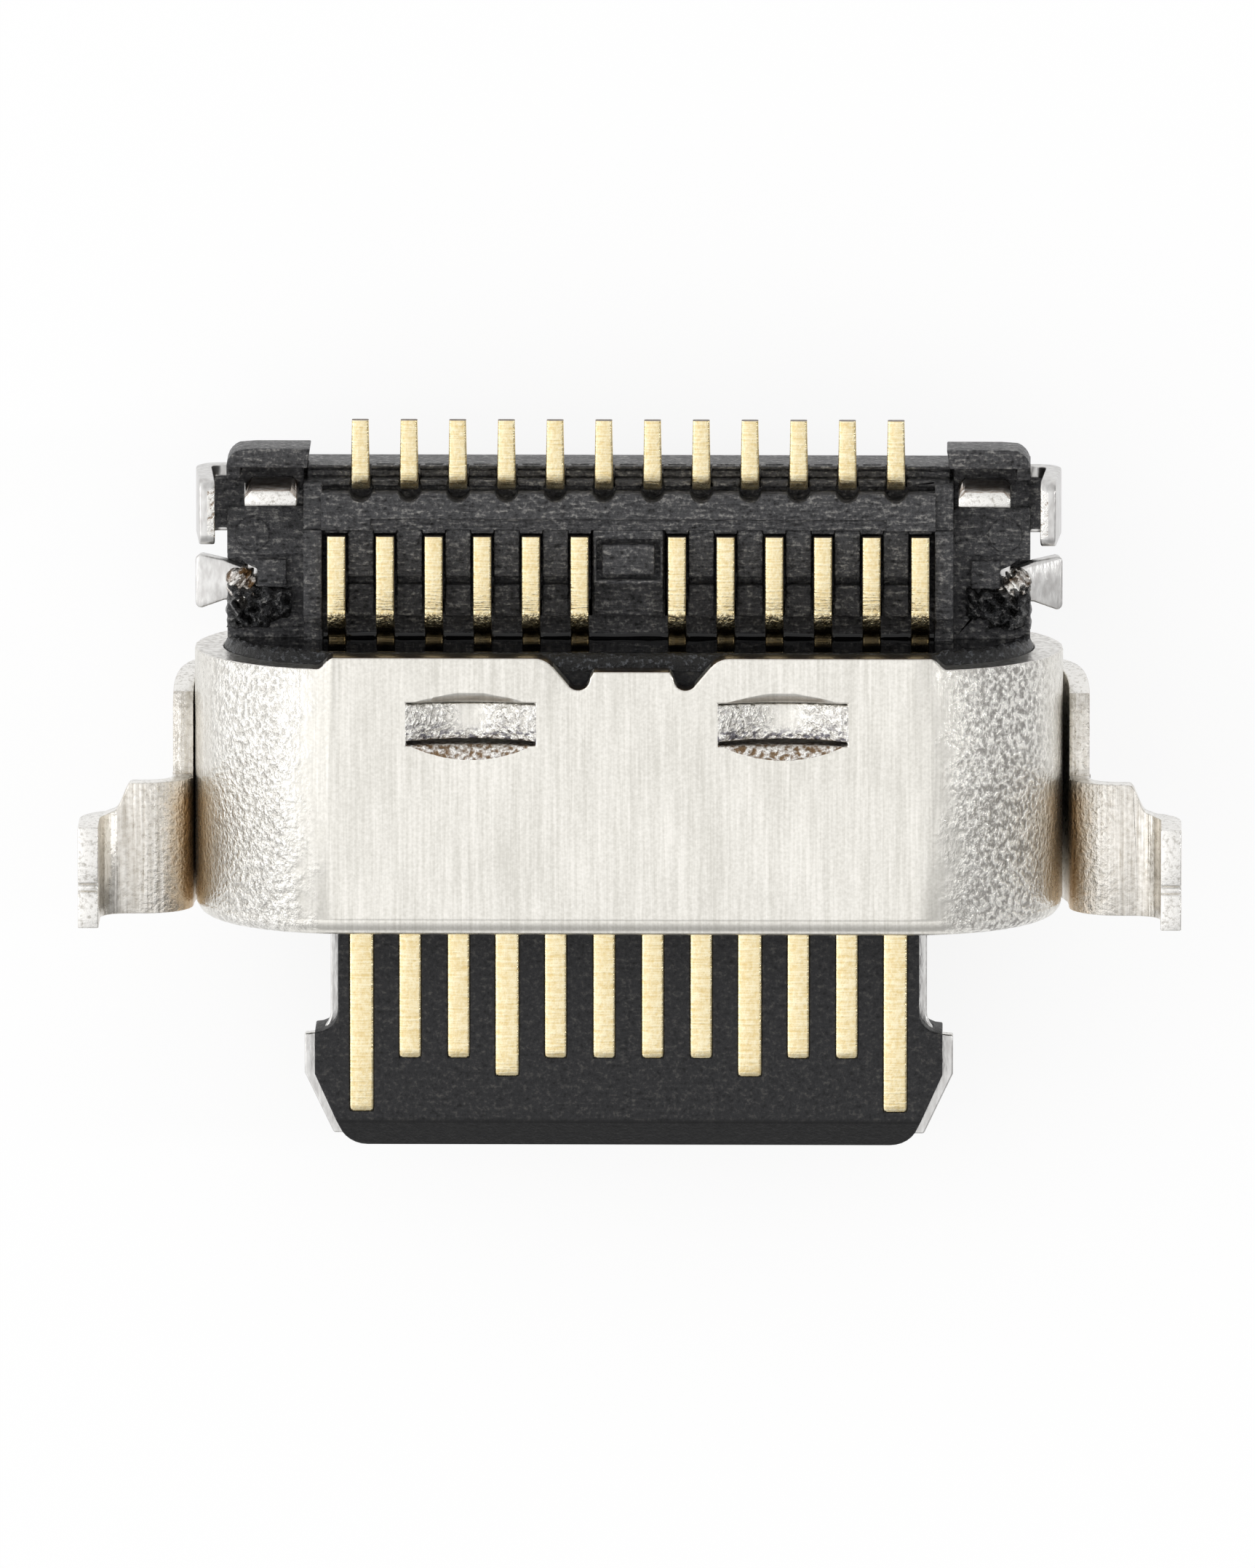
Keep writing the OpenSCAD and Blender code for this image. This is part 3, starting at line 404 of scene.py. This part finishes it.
print("finishes")
finishes = {
    "drawn": makeDrawnSteel(), "stamped": makeStampedSteel(),
    "rolled": makeGrainedMetal("brightRolledSteel", rolledSteel, 0.3), "rim": makeRimSteel(),
    "nicked": makeTornSteel("nickedSteelEdge", "#94806c", 0.055, 0.02, 0.34, 0.46),
    "brownSteel": makeTornSteel("brownedSteelEdge", "#8d7c6c", 0.12, 0.008, 0.4, 0.75),
    "sheared": makeTornSteel("shearedSteelEdge", "#b9b5ae", 0.045, 0.006, 0.3, 0.5),
    "torn": makeTornSteel("tornSteel", "#7a634a", 0.06, 0.03, 0.42, 0.6),
    "gold": makeFlashGold(), "copper": makeGrainedMetal("shearedCopperEnd", cutCopper, 0.4),
    "body": makePolymer("ridgedBlackPolymer", bodyPolymer, 0.4),
    "tongue": makePolymer("mattBlackPolymer", tonguePolymer, 0.5),
    "epoxy": makeEpoxy(), "brokenBody": makePolymer("brokenBlackPolymer", brokenPolymer, 0.22),
    "brokenSteel": makeTornSteel("tornSteelNeck", "#57422c", 0.16, 0.03, 0.4, 0.62),
}


def addPiece(name, mesh, replaced):
    piece = bpy.data.objects.new(name, mesh)
    bpy.context.scene.collection.objects.link(piece)
    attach(piece, wholeBody)
    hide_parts(*replaced)
    return piece


def meshFrom(work, name, finish, smoothAngle=50):
    bmesh.ops.recalc_face_normals(work, faces=work.faces)
    mesh = bpy.data.meshes.new(name)
    work.to_mesh(mesh)
    work.free()
    mesh.materials.append(finishes[finish])
    mesh.shade_smooth()
    mesh.set_sharp_from_angle(angle=math.radians(smoothAngle))
    return mesh


# angles in degrees: the least turn that makes a corner, and the least between two broken corners
cornerAngle = 35
narrowAngle = 25.8


def meetsNarrowly(edge, corners):
    # two edges that meet at a narrow angle cannot both be broken
    for vertex in edge.verts:
        way = edge.other_vert(vertex).co - vertex.co
        for other in vertex.link_edges:
            if other is edge or other not in corners:
                continue
            if way.angle(other.other_vert(vertex).co - vertex.co) < math.radians(narrowAngle):
                return True
    return False


def dressSolid(name, slot, used, edgeRound, finishOf=None):
    # a merged copy of the solid with its edges broken, and each face in one of the finishes used
    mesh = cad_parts[name].data.copy()
    low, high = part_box(name)
    work = bmesh.new()
    work.from_mesh(mesh)
    bmesh.ops.remove_doubles(work, verts=work.verts, dist=0.0005 * mm)
    bmesh.ops.dissolve_limit(work, angle_limit=math.radians(0.1), verts=work.verts, edges=work.edges)
    for face in work.faces:
        face.material_index = int(finishOf(face.calc_center_median() / mm, face.normal)) if finishOf else 0
    corners = [edge for edge in work.edges if edge.calc_face_angle(0.0) > math.radians(cornerAngle)]
    allCorners = set(corners)
    corners = [edge for edge in corners if not meetsNarrowly(edge, allCorners)]
    bmesh.ops.bevel(work, geom=corners, offset=edgeRound * mm, offset_type="OFFSET", segments=2, profile=0.5,
                    affect="EDGES", clamp_overlap=False, loop_slide=False, material=-1)
    bmesh.ops.dissolve_degenerate(work, dist=0.001 * mm, edges=work.edges)
    for vertex in work.verts:  # nothing reaches past the solid
        vertex.co = [min(max(value, low[k]), high[k]) for k, value in enumerate(vertex.co)]
    mesh.materials.clear()
    for finish in used:  # before to_mesh, which keeps each face's number
        mesh.materials.append(finishes[finish])
    work.to_mesh(mesh)
    work.free()
    mesh.shade_smooth()
    mesh.set_sharp_from_angle(angle=math.radians(50))
    piece = addPiece(name + "Dressed", mesh, [name])
    weighted = piece.modifiers.new("flatFaces", "WEIGHTED_NORMAL")
    weighted.keep_sharp = True
    return piece


print("solids with broken edges")
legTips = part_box("mid_plate")[1].z / mm
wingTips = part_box("bracket")[1].z / mm


def shellFinish(place, normal):
    # 0 is the drawn face, 1 the torn lip of a lance and 2 the sheared rear rim
    if 0.9 < abs(place.x) < 2.3 and 1.7 < place.y < 2.0 and place.z > 1.3 and normal.z < 0.999:
        return 1
    return 2 if normal.y > 0.7 and place.y > 2.5 else 0


def isBracketCut(place, normal):
    return abs(normal.y) > 0.8 or (normal.z > 0.8 and place.z > wingTips - 0.1)


def plateFinish(place, normal):
    # 0 is the rolled face, 1 a clean cut, 2 a nicked cut and 3 a browned one
    x = abs(place.x)
    if place.y > 3.9 and normal.z > 0.5 and place.z > legTips - 0.12:
        return 2 if 4.2 < x < 4.31 else int(x < 4.2)  # leg tips, nicked on the side legs' inner half
    if place.y > 4.3 and normal.y > 0.5 and x < 4 and place.z > 0.2:
        return 3  # backs of the corner legs
    return int(abs(normal.y) > 0.8 and place.y < 0)


# each solid's slot, its finishes, how far its edges are broken in millimetres, and what gives a
# face one of the finishes
dressing = {
    "shell": ("shell_steel", ["drawn", "torn", "rim"], 0.02, shellFinish),
    "bracket": ("bracket_steel", ["stamped", "sheared"], 0.012, isBracketCut),
    "mid_plate": ("plate_steel", ["rolled", "sheared", "nicked", "brownSteel"], 0.018, plateFinish),
    "tongue_overmould": ("body_resin", ["tongue"], 0.015),
    "near_row_mould": ("body_resin", ["body"], 0.015),
    "far_row_mould": ("body_resin", ["body"], 0.012),
    "near_emi_pad": ("plate_steel", ["rolled"], 0.01),
    "far_emi_pad": ("plate_steel", ["rolled"], 0.01),
}
for name, choices in dressing.items():
    dressSolid(name, *choices)


print("contact rows")
contactRow = {
    "pitch": 0.5, "thickness": 0.12, "tailWidth": 0.19, "signalWidth": 0.23, "powerWidth": 0.25,
    "edgeRound": 0.024, "padTop": 0.365, "tipDrop": 0.05, "bendRadius": 0.15, "exitHeight": 0.2,
    "jogFrom": 1.17, "jogTo": 1.67, "frontRiser": 3.05, "rearRiser": 4.525, "rearTaper": 0.009, "taperLength": 0.52,
}


def contactRowTree():
    tree = bpy.data.node_groups.new("contactRow", "GeometryNodeTree")
    face = tree.interface
    face.new_socket("Geometry", in_out="INPUT", socket_type="NodeSocketGeometry")
    face.new_socket("Count", in_out="INPUT", socket_type="NodeSocketInt")
    for title in ("Pitch", "Thickness", "Tail Width", "Signal Width", "Power Width", "Edge Round", "Bend Radius",
                  "Taper", "Taper From", "Tail End", "Jog From", "Jog To", "Tail Shift", "Power Reach",
                  "Ground Reach", "Tip Limit"):
        face.new_socket(title, in_out="INPUT", socket_type="NodeSocketFloat")
    face.new_socket("Plating", in_out="INPUT", socket_type="NodeSocketMaterial")
    face.new_socket("Cut End", in_out="INPUT", socket_type="NodeSocketMaterial")
    face.new_socket("Geometry", in_out="OUTPUT", socket_type="NodeSocketGeometry")
    given = addNode(tree, "NodeGroupInput").node.outputs

    def placeOf(axis):
        place = addNode(tree, "GeometryNodeInputPosition")
        return addNode(tree, "ShaderNodeSeparateXYZ", (place,), axis)

    # one bent centre line for every contact of the row
    line = addNode(tree, "GeometryNodeMeshToCurve", {"Mesh": given["Geometry"]})
    line = addNode(tree, "GeometryNodeFilletCurve", {
        "Curve": line, "Count": 5, "Radius": given["Bend Radius"], "Limit Radius": True}, mode="POLY")
    last = addNode(tree, "ShaderNodeMath", (given["Count"], 1.0), operation="SUBTRACT")
    first = overlap(tree, [last, -0.5, given["Pitch"]])
    places = addNode(tree, "GeometryNodeMeshLine", {
        "Count": given["Count"], "Start Location": addNode(tree, "ShaderNodeCombineXYZ", (first,)),
        "Offset": addNode(tree, "ShaderNodeCombineXYZ", (given["Pitch"],))}, mode="OFFSET")
    row = addNode(tree, "GeometryNodeInstanceOnPoints", {"Points": places, "Instance": line})
    row = addNode(tree, "GeometryNodeStoreNamedAttribute", {
        "Geometry": row, "Name": "place", "Value": addNode(tree, "GeometryNodeInputIndex")
    }, data_type="FLOAT", domain="INSTANCE")
    row = addNode(tree, "GeometryNodeRealizeInstances", {"Geometry": row})

    # the outermost pair reaches furthest forward, and the fourth from each end a little less
    place = addNode(tree, "GeometryNodeInputNamedAttribute", {"Name": "place"}, data_type="FLOAT")
    fromLast = addNode(tree, "ShaderNodeMath", (last, place), operation="SUBTRACT")
    fromEnd = addNode(tree, "ShaderNodeMath", (place, fromLast), operation="MINIMUM")
    isPower = addNode(tree, "ShaderNodeMath", (fromEnd, 0.5), operation="LESS_THAN")
    fromFourth = addNode(tree, "ShaderNodeMath", (fromEnd, 3.0), operation="SUBTRACT")
    fromFourth = addNode(tree, "ShaderNodeMath", (fromFourth,), operation="ABSOLUTE")
    isGround = addNode(tree, "ShaderNodeMath", (fromFourth, 0.5), operation="LESS_THAN")
    reach = addUp(tree, [(isPower, given["Power Reach"]), (isGround, given["Ground Reach"])])
    atTip = addNode(tree, "ShaderNodeMath", (placeOf("Y"), given["Tip Limit"]), operation="LESS_THAN")
    jogged = addNode(tree, "ShaderNodeMapRange", (placeOf("Y"), given["Jog From"], given["Jog To"]))
    side = addNode(tree, "ShaderNodeMath", (placeOf("X"),), operation="SIGN")
    moved = addNode(tree, "ShaderNodeCombineXYZ", (
        overlap(tree, [side, given["Tail Shift"], jogged]), overlap(tree, [reach, atTip, -1.0])))
    row = addNode(tree, "GeometryNodeSetPosition", {"Geometry": row, "Offset": moved})
    row = addNode(tree, "GeometryNodeStoreNamedAttribute", {
        "Geometry": row, "Name": "middle", "Value": placeOf("X")}, data_type="FLOAT", domain="POINT")

    # the strip's section, with its edges broken
    row = addNode(tree, "GeometryNodeSetCurveNormal", {"Curve": row, "Normal": (1.0, 0.0, 0.0)}, mode="FREE")
    section = addNode(tree, "GeometryNodeCurvePrimitiveQuadrilateral", {
        "Width": given["Tail Width"], "Height": given["Thickness"]})
    section = addNode(tree, "GeometryNodeFilletCurve", {
        "Curve": section, "Count": 2, "Radius": given["Edge Round"]}, mode="POLY")
    row = addNode(tree, "GeometryNodeCurveToMesh", {"Curve": row, "Profile Curve": section, "Fill Caps": True})

    # blades are wider than tails, and the rear tails narrow towards their ends
    wide = addNode(tree, "ShaderNodeMath", (isPower, isGround), operation="MAXIMUM")
    wide = overlap(tree, [wide, given["Power Width"]])
    wide = addNode(tree, "ShaderNodeMath", (wide, given["Signal Width"]), operation="MAXIMUM")
    wide = addNode(tree, "ShaderNodeMath", (wide, given["Tail Width"]), operation="DIVIDE")
    wide = addNode(tree, "ShaderNodeMapRange", (placeOf("Y"), given["Jog From"], given["Jog To"], wide, 1.0))
    narrow = overlap(tree, [given["Taper"], -2.0])
    narrow = addNode(tree, "ShaderNodeMath", (narrow, given["Tail Width"]), operation="DIVIDE")
    narrow = addNode(
        tree, "ShaderNodeMapRange", (placeOf("Y"), given["Taper From"], given["Tail End"], 0.0, narrow))
    middle = addNode(tree, "GeometryNodeInputNamedAttribute", {"Name": "middle"}, data_type="FLOAT")
    aside = addNode(tree, "ShaderNodeMath", (placeOf("X"), middle), operation="SUBTRACT")
    width = addNode(tree, "ShaderNodeMath", (wide, narrow), operation="ADD")
    width = addNode(tree, "ShaderNodeMath", (width, 1.0), operation="SUBTRACT")
    moved = addNode(tree, "ShaderNodeCombineXYZ", (overlap(tree, [aside, width]),))
    row = addNode(tree, "GeometryNodeSetPosition", {"Geometry": row, "Offset": moved})

    row = addNode(tree, "GeometryNodeRealizeInstances", {"Geometry": row})
    row = addNode(tree, "GeometryNodeSetMaterial", {"Geometry": row, "Material": given["Plating"]})
    endFrom = addNode(tree, "ShaderNodeMath", (given["Tail End"], 0.003 * mm), operation="SUBTRACT")
    isEnd = addNode(tree, "ShaderNodeMath", (placeOf("Y"), endFrom), operation="GREATER_THAN")
    row = addNode(tree, "GeometryNodeSetMaterial", {
        "Geometry": row, "Selection": isEnd, "Material": given["Cut End"]})
    addNode(tree, "NodeGroupOutput", {"Geometry": row})
    return tree


def growRow(tree, name, corners, shift, taper, replaced):
    size = contactRow
    tips = [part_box(replaced[k])[0].y for k in (1, 0, 3)]  # signal, power and ground contacts
    mesh = bpy.data.meshes.new(name + "Line")
    mesh.from_pydata([(0, y, z) for y, z in corners], [(k, k + 1) for k in range(len(corners) - 1)], [])
    grower = bpy.data.objects.new(name + "Line", mesh)
    bpy.context.scene.collection.objects.link(grower)
    modifier = grower.modifiers.new("row", "NODES")
    modifier.node_group = tree
    values = {
        "Count": len(replaced), "Pitch": size["pitch"] * mm, "Thickness": size["thickness"] * mm,
        "Tail Width": size["tailWidth"] * mm, "Signal Width": size["signalWidth"] * mm,
        "Power Width": size["powerWidth"] * mm, "Edge Round": size["edgeRound"] * mm,
        "Bend Radius": size["bendRadius"] * mm, "Taper": taper,
        "Taper From": corners[-1][0] - size["taperLength"] * mm, "Tail End": corners[-1][0],
        "Jog From": size["jogFrom"] * mm, "Jog To": size["jogTo"] * mm, "Tail Shift": shift,
        "Power Reach": tips[0] - tips[1], "Ground Reach": tips[0] - tips[2],
        "Tip Limit": tips[0] + 2 * size["tipDrop"] * mm, "Plating": finishes["gold"], "Cut End": finishes["copper"],
    }
    for socket in tree.interface.items_tree:
        if socket.in_out == "INPUT" and socket.name in values:
            modifier[socket.identifier] = values[socket.name]
    grown = bpy.data.meshes.new_from_object(grower.evaluated_get(bpy.context.evaluated_depsgraph_get()))
    bpy.data.objects.remove(grower)
    work = bmesh.new()
    work.from_mesh(grown)
    bmesh.ops.recalc_face_normals(work, faces=work.faces)
    work.to_mesh(grown)
    work.free()
    grown.shade_smooth()
    grown.set_sharp_from_angle(angle=math.radians(50))
    grown.name = name
    return addPiece(name, grown, replaced)


def makeContactRows():
    size = {key: value * mm for key, value in contactRow.items()}
    tree = contactRowTree()
    half = size["thickness"] / 2
    nearNames = [f"near_contact_{k}" for k in range(1, 13)]
    farNames = [f"far_contact_{k}" for k in range(1, 13)]
    low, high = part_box(nearNames[1])
    pad, tail, leave = size["padTop"] - half, high.z - half, size["exitHeight"]
    near = [(low.y, pad - size["tipDrop"]), (low.y + size["tipDrop"], pad), (size["jogFrom"], pad),
            (size["jogFrom"] + 0.2 * mm, leave), (size["jogTo"], leave), (size["frontRiser"], leave),
            (size["frontRiser"], tail), (high.y, tail)]
    growRow(tree, "nearContactRow", near, size["pitch"] / 2, 0.0, nearNames)
    low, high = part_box(farNames[1])
    far = [(low.y, size["tipDrop"] - pad), (low.y + size["tipDrop"], -pad), (size["jogFrom"], -pad),
           (size["jogTo"], -pad), (size["rearRiser"], -pad), (size["rearRiser"], tail), (high.y, tail)]
    growRow(tree, "farContactRow", far, 0.0, size["rearTaper"], farNames)


makeContactRows()


print("cured seal")
sealShape = {
    "ringStep": 0.025, "aroundStep": 0.03, "film": 0.012, "roundOver": 0.1, "roundReach": 0.09, "ripple": 0.006,
    "rimFrom": 2.95, "rimFull": 3.25, "ridge": 0.015, "ridgeInset": 0.1, "ridgeWidth": 0.06,
    "rimRough": 0.04, "rimGrain": 0.09,
    "footWidth": 3.14, "footReach": 0.06, "footFrom": 0.145, "footStep": 0.03,
}


def sealSurface(x, z, wall):
    # height of the resin above its plain face, in millimetres, at this distance from the wall
    size = sealShape
    rounded = max(0.0, 1 - wall / size["roundReach"]) ** 2 * size["roundOver"]
    rim = min(1.0, max(0.0, (abs(x) - size["rimFrom"]) / (size["rimFull"] - size["rimFrom"])))
    ripple = noise.noise(Vector((x, 0, z)) / 0.5) * size["ripple"]
    # the resin stands up in a rough ridge beside the wall, round the ends
    rim *= math.exp(-((wall - size["ridgeInset"]) / size["ridgeWidth"]) ** 2)
    grain = noise.fractal(Vector((x, 1, z)) / size["rimGrain"], 0.8, 2.0, 3) * size["rimRough"]
    return size["film"] - rounded + ripple + rim * (size["ridge"] + grain)


def makeSeal():
    size = sealShape
    low, high = [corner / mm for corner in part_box("epoxy_seal")]
    radius = high.z
    endX = high.x - radius
    rings = int(radius / size["ringStep"])
    straight, arc = int(2 * endX / size["aroundStep"]), int(math.pi * radius / size["aroundStep"])
    outline = []  # the nearest end of the slot's axis, and the direction outwards
    for side in (1, -1):
        turns = [math.pi * (k / arc - 0.5) for k in range(arc)]
        outline += [(side * endX, side * math.cos(a), side * math.sin(a)) for a in turns]
        outline += [(side * endX * (1 - 2 * k / straight), 0.0, side) for k in range(straight)]
    work = bmesh.new()
    layers = [[work.verts.new(Vector((cx + dx * radius, low.y, dz * radius)) * mm) for cx, dx, dz in outline]]
    for ring in range(rings + 1):
        inset = radius * ring / rings
        layer = []
        for cx, dx, dz in outline:
            x, z = cx + dx * (radius - inset), dz * (radius - inset)
            layer.append(work.verts.new(Vector((x, high.y + sealSurface(x, z, inset), z)) * mm))
        layers.append(layer)
    count = len(outline)
    for inner, outer in zip(layers[1:], layers):
        for k in range(count):
            work.faces.new((outer[k], outer[(k + 1) % count], inner[(k + 1) % count], inner[k]))
    work.faces.new(layers[0])
    bmesh.ops.remove_doubles(work, verts=work.verts, dist=0.001 * mm)
    addPiece("curedSeal", meshFrom(work, "curedSeal", "epoxy"), ["epoxy_seal"])


def makeSealFoot():
    # the hollow foot that the resin left along the floor, behind the wall
    size = sealShape
    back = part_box("epoxy_seal")[1].y / mm
    work = bmesh.new()
    reach = size["footReach"]
    profile = [(0.0, 0.0), (0.0, reach * 1.2)]
    profile += [(reach * (1 - math.cos(a)), reach * 1.2 * (1 - math.sin(a))) for a in (0.35, 0.7, 1.05, 1.4)]
    profile.append((reach, 0.0))
    stations = int(2 * size["footWidth"] / size["footStep"])
    sections = []
    for k in range(stations + 1):
        x = size["footWidth"] * (2 * k / stations - 1)
        swell = 1 + 0.3 * noise.noise(Vector((x / 0.35, 5, 0)))
        sections.append([
            work.verts.new(Vector((x, back + y * swell, size["footFrom"] + z * swell)) * mm) for y, z in profile])
    for first, second in zip(sections, sections[1:]):
        for k in range(len(profile)):
            nextK = (k + 1) % len(profile)
            work.faces.new((first[k], second[k], second[nextK], first[nextK]))
    work.faces.new(sections[0])
    work.faces.new(sections[-1])
    addPiece("sealFoot", meshFrom(work, "sealFoot", "epoxy"), [])


makeSeal()
makeSealFoot()


print("broken places")
brokenResin = {
    "fromX": 3.46, "fromY": 2.96, "bottom": 0.1, "width": 0.68, "length": 0.48, "rise": 0.17,
    "step": 0.014, "grain": 0.15, "raggedness": 0.14, "sway": 0.02,
}
tornNeck = {
    "x": 3.96, "yBehindSeal": 0.52, "z": 0.06, "size": (0.17, 0.22, 0.13), "rough": 0.035, "grain": 0.2,
    "folds": 34, "foldDepth": 0.045,
}


def makeBrokenResin(side):
    size = brokenResin
    columns, rows = int(size["width"] / size["step"]), int(size["length"] / size["step"])
    work = bmesh.new()
    grid = []
    for j in range(rows + 1):
        line = []
        for i in range(columns + 1):
            u, v = i / columns, j / rows
            x, y = size["fromX"] + u * size["width"], size["fromY"] + v * size["length"]
            place = Vector((x, y * side, 0)) / size["grain"]
            ragged = noise.ridged_multi_fractal(place, 0.7, 2.1, 4, 0.9, 2.0)
            # the break narrows away from the neck, with a ragged outline
            inside = min(1 - u, v, 1 - v, (u + 0.9 * v - 0.35) / 1.3)
            inside += size["raggedness"] * noise.noise(place * 0.9)
            height = size["rise"] * ragged * min(1.0, max(0.0, 7 * inside))
            z = size["bottom"] + height if min(u, 1 - u, v, 1 - v) > 0 else 0.0
            x += size["sway"] * noise.noise(place * 2.3)
            line.append(work.verts.new((side * x * mm, y * mm, z * mm)))
        grid.append(line)
    for j in range(rows):
        for i in range(columns):
            work.faces.new((grid[j][i], grid[j][i + 1], grid[j + 1][i + 1], grid[j + 1][i]))
    border = [grid[0][i] for i in range(columns + 1)] + [grid[j][columns] for j in range(1, rows + 1)]
    border += [grid[rows][i] for i in range(columns - 1, -1, -1)] + [grid[j][0] for j in range(rows - 1, 0, -1)]
    work.faces.new(border)
    name = "brokenResin" + ("Right" if side > 0 else "Left")
    addPiece(name, meshFrom(work, name, "brokenBody", 30), [])


def makeTornNeck(side):
    size = tornNeck
    work = bmesh.new()
    bmesh.ops.create_icosphere(work, subdivisions=5, radius=1.0)
    middle = Vector((size["x"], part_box("epoxy_seal")[1].y / mm + size["yBehindSeal"], size["z"]))
    for vertex in work.verts:
        way = vertex.co.copy()
        point = Vector([a * b for a, b in zip(way, size["size"])])
        ragged = noise.ridged_multi_fractal((point + middle * side) / size["grain"], 0.8, 2.0, 3, 0.9, 2.0) - 0.8
        fold = abs(math.sin(size["folds"] * (point.x + abs(point.y) * 0.7))) - 0.5  # folds that point inwards
        point += way * (ragged * size["rough"] + fold * size["foldDepth"]) + middle
        vertex.co = Vector((point.x * side, point.y, point.z)) * mm
    name = "tornNeck" + ("Right" if side > 0 else "Left")
    addPiece(name, meshFrom(work, name, "brokenSteel"), [])


for side in (1, -1):
    makeBrokenResin(side)
    makeTornNeck(side)


print("floor, camera and lights")
stageSizes = {
    "floorWidth": 2.0, "floorGlow": 0.85, "cameraAway": 0.3, "pitchDown": 9.5, "yaw": 0.8, "viewHeight": 16.174,
    "aimAcross": -0.015, "aimUp": 1.575, "aimHeight": 1.58,
}
# the world's brightness from each side, and how far round each side reaches
studio = {
    "left": 1.25, "zenith": 0.8, "right": 0.24, "leftFull": -0.6, "rightFrom": 0.4, "rightFull": 0.97,
    "front": 0.6, "frontFrom": -0.25, "frontFull": -0.9,
}
lamps = {
    "overhead": {"place": (0, -0.03, 0.25), "size": (0.24, 0.2), "brightness": 0.28},
    "rightStrip": {"place": (0.2, 0.02, 0.14), "size": (0.014, 0.12), "brightness": 12.0},
    "leftBox": {"place": (-0.2, 0.02, 0.12), "size": (0.14, 0.14), "brightness": 1.0},
}


def makeFloor():
    material = bpy.data.materials.new("paleFloor")
    material.use_nodes = True
    tree = material.node_tree
    tree.nodes.clear()
    rays = addNode(tree, "ShaderNodeLightPath").node.outputs
    seen = addNode(tree, "ShaderNodeMath", (rays["Is Camera Ray"], rays["Is Glossy Ray"]), operation="MAXIMUM")
    seen = addNode(tree, "ShaderNodeMath", (seen, rays["Is Transmission Ray"]), operation="MAXIMUM")
    matt = addNode(tree, "ShaderNodeBsdfDiffuse", {"Color": (1, 1, 1, 1)})
    white = addNode(tree, "ShaderNodeEmission")
    glow = overlap(tree, [seen, stageSizes["floorGlow"]])
    surface = addNode(tree, "ShaderNodeMixShader", (glow, matt, white))
    addNode(tree, "ShaderNodeOutputMaterial", {"Surface": surface})
    half = stageSizes["floorWidth"] / 2
    mesh = bpy.data.meshes.new("floor")
    corners = [(-half, -half), (half, -half), (half, half), (-half, half)]
    mesh.from_pydata([(x, y, cadLow.z) for x, y in corners], [], [(0, 1, 2, 3)])
    mesh.materials.append(material)
    floor = bpy.data.objects.new("floor", mesh)
    bpy.context.scene.collection.objects.link(floor)


def makeCamera():
    pitch, yaw = math.radians(stageSizes["pitchDown"]), math.radians(stageSizes["yaw"])
    back = Vector((math.sin(yaw) * math.cos(pitch), math.sin(pitch), math.cos(pitch) * math.cos(yaw)))
    right = Vector((0, 1, 0)).cross(back).normalized()
    up = back.cross(right)
    rise = stageSizes["aimUp"] - stageSizes["aimHeight"] * math.sin(pitch)
    aim = (right * stageSizes["aimAcross"] + up * rise) * mm
    data = bpy.data.cameras.new("camera")
    data.lens = data.sensor_width * stageSizes["cameraAway"] / (stageSizes["viewHeight"] * mm)
    data.clip_start, data.clip_end = 0.01, 10
    camera = bpy.data.objects.new("camera", data)
    bpy.context.scene.collection.objects.link(camera)
    camera.matrix_world = Matrix((right, up, back)).transposed().to_4x4()
    camera.location = aim + back * stageSizes["cameraAway"]
    bpy.context.scene.camera = camera


def makeLamp(name, place, size, brightness):
    data = bpy.data.lights.new(name, "AREA")
    data.shape = "RECTANGLE"
    data.size, data.size_y = size
    data.energy = brightness * math.pi * size[0] * size[1]
    lamp = bpy.data.objects.new(name, data)
    bpy.context.scene.collection.objects.link(lamp)
    lamp.location = place
    lamp.rotation_euler = (-Vector(place)).to_track_quat("-Z", "Y").to_euler()
    lamp.visible_camera = False


def makeWorld():
    world = bpy.data.worlds.new("studio")
    bpy.context.scene.world = world
    world.use_nodes = True
    tree = world.node_tree
    way = addNode(tree, "ShaderNodeTexCoord", output="Generated")
    parts = addNode(tree, "ShaderNodeSeparateXYZ", (way,)).node.outputs
    left = addNode(
        tree, "ShaderNodeMapRange", (parts["X"], studio["leftFull"], 0.0, studio["left"], studio["zenith"]),
        interpolation_type="SMOOTHSTEP")
    right = addNode(
        tree, "ShaderNodeMapRange",
        (parts["X"], studio["rightFrom"], studio["rightFull"], 0.0, studio["right"] - studio["zenith"]),
        interpolation_type="SMOOTHSTEP")
    front = addNode(
        tree, "ShaderNodeMapRange", (parts["Y"], studio["frontFull"], studio["frontFrom"], studio["front"], 1.0),
        interpolation_type="SMOOTHSTEP")
    level = overlap(tree, [addNode(tree, "ShaderNodeMath", (left, right), operation="ADD"), front])
    tree.links.new(level, tree.nodes["Background"].inputs["Strength"])
    tree.nodes["Background"].inputs["Color"].default_value = (1, 1, 1, 1)


makeFloor()
makeCamera()
makeWorld()
for name, lamp in lamps.items():
    makeLamp(name, **lamp)
bpy.context.scene.view_settings.view_transform = "Standard"
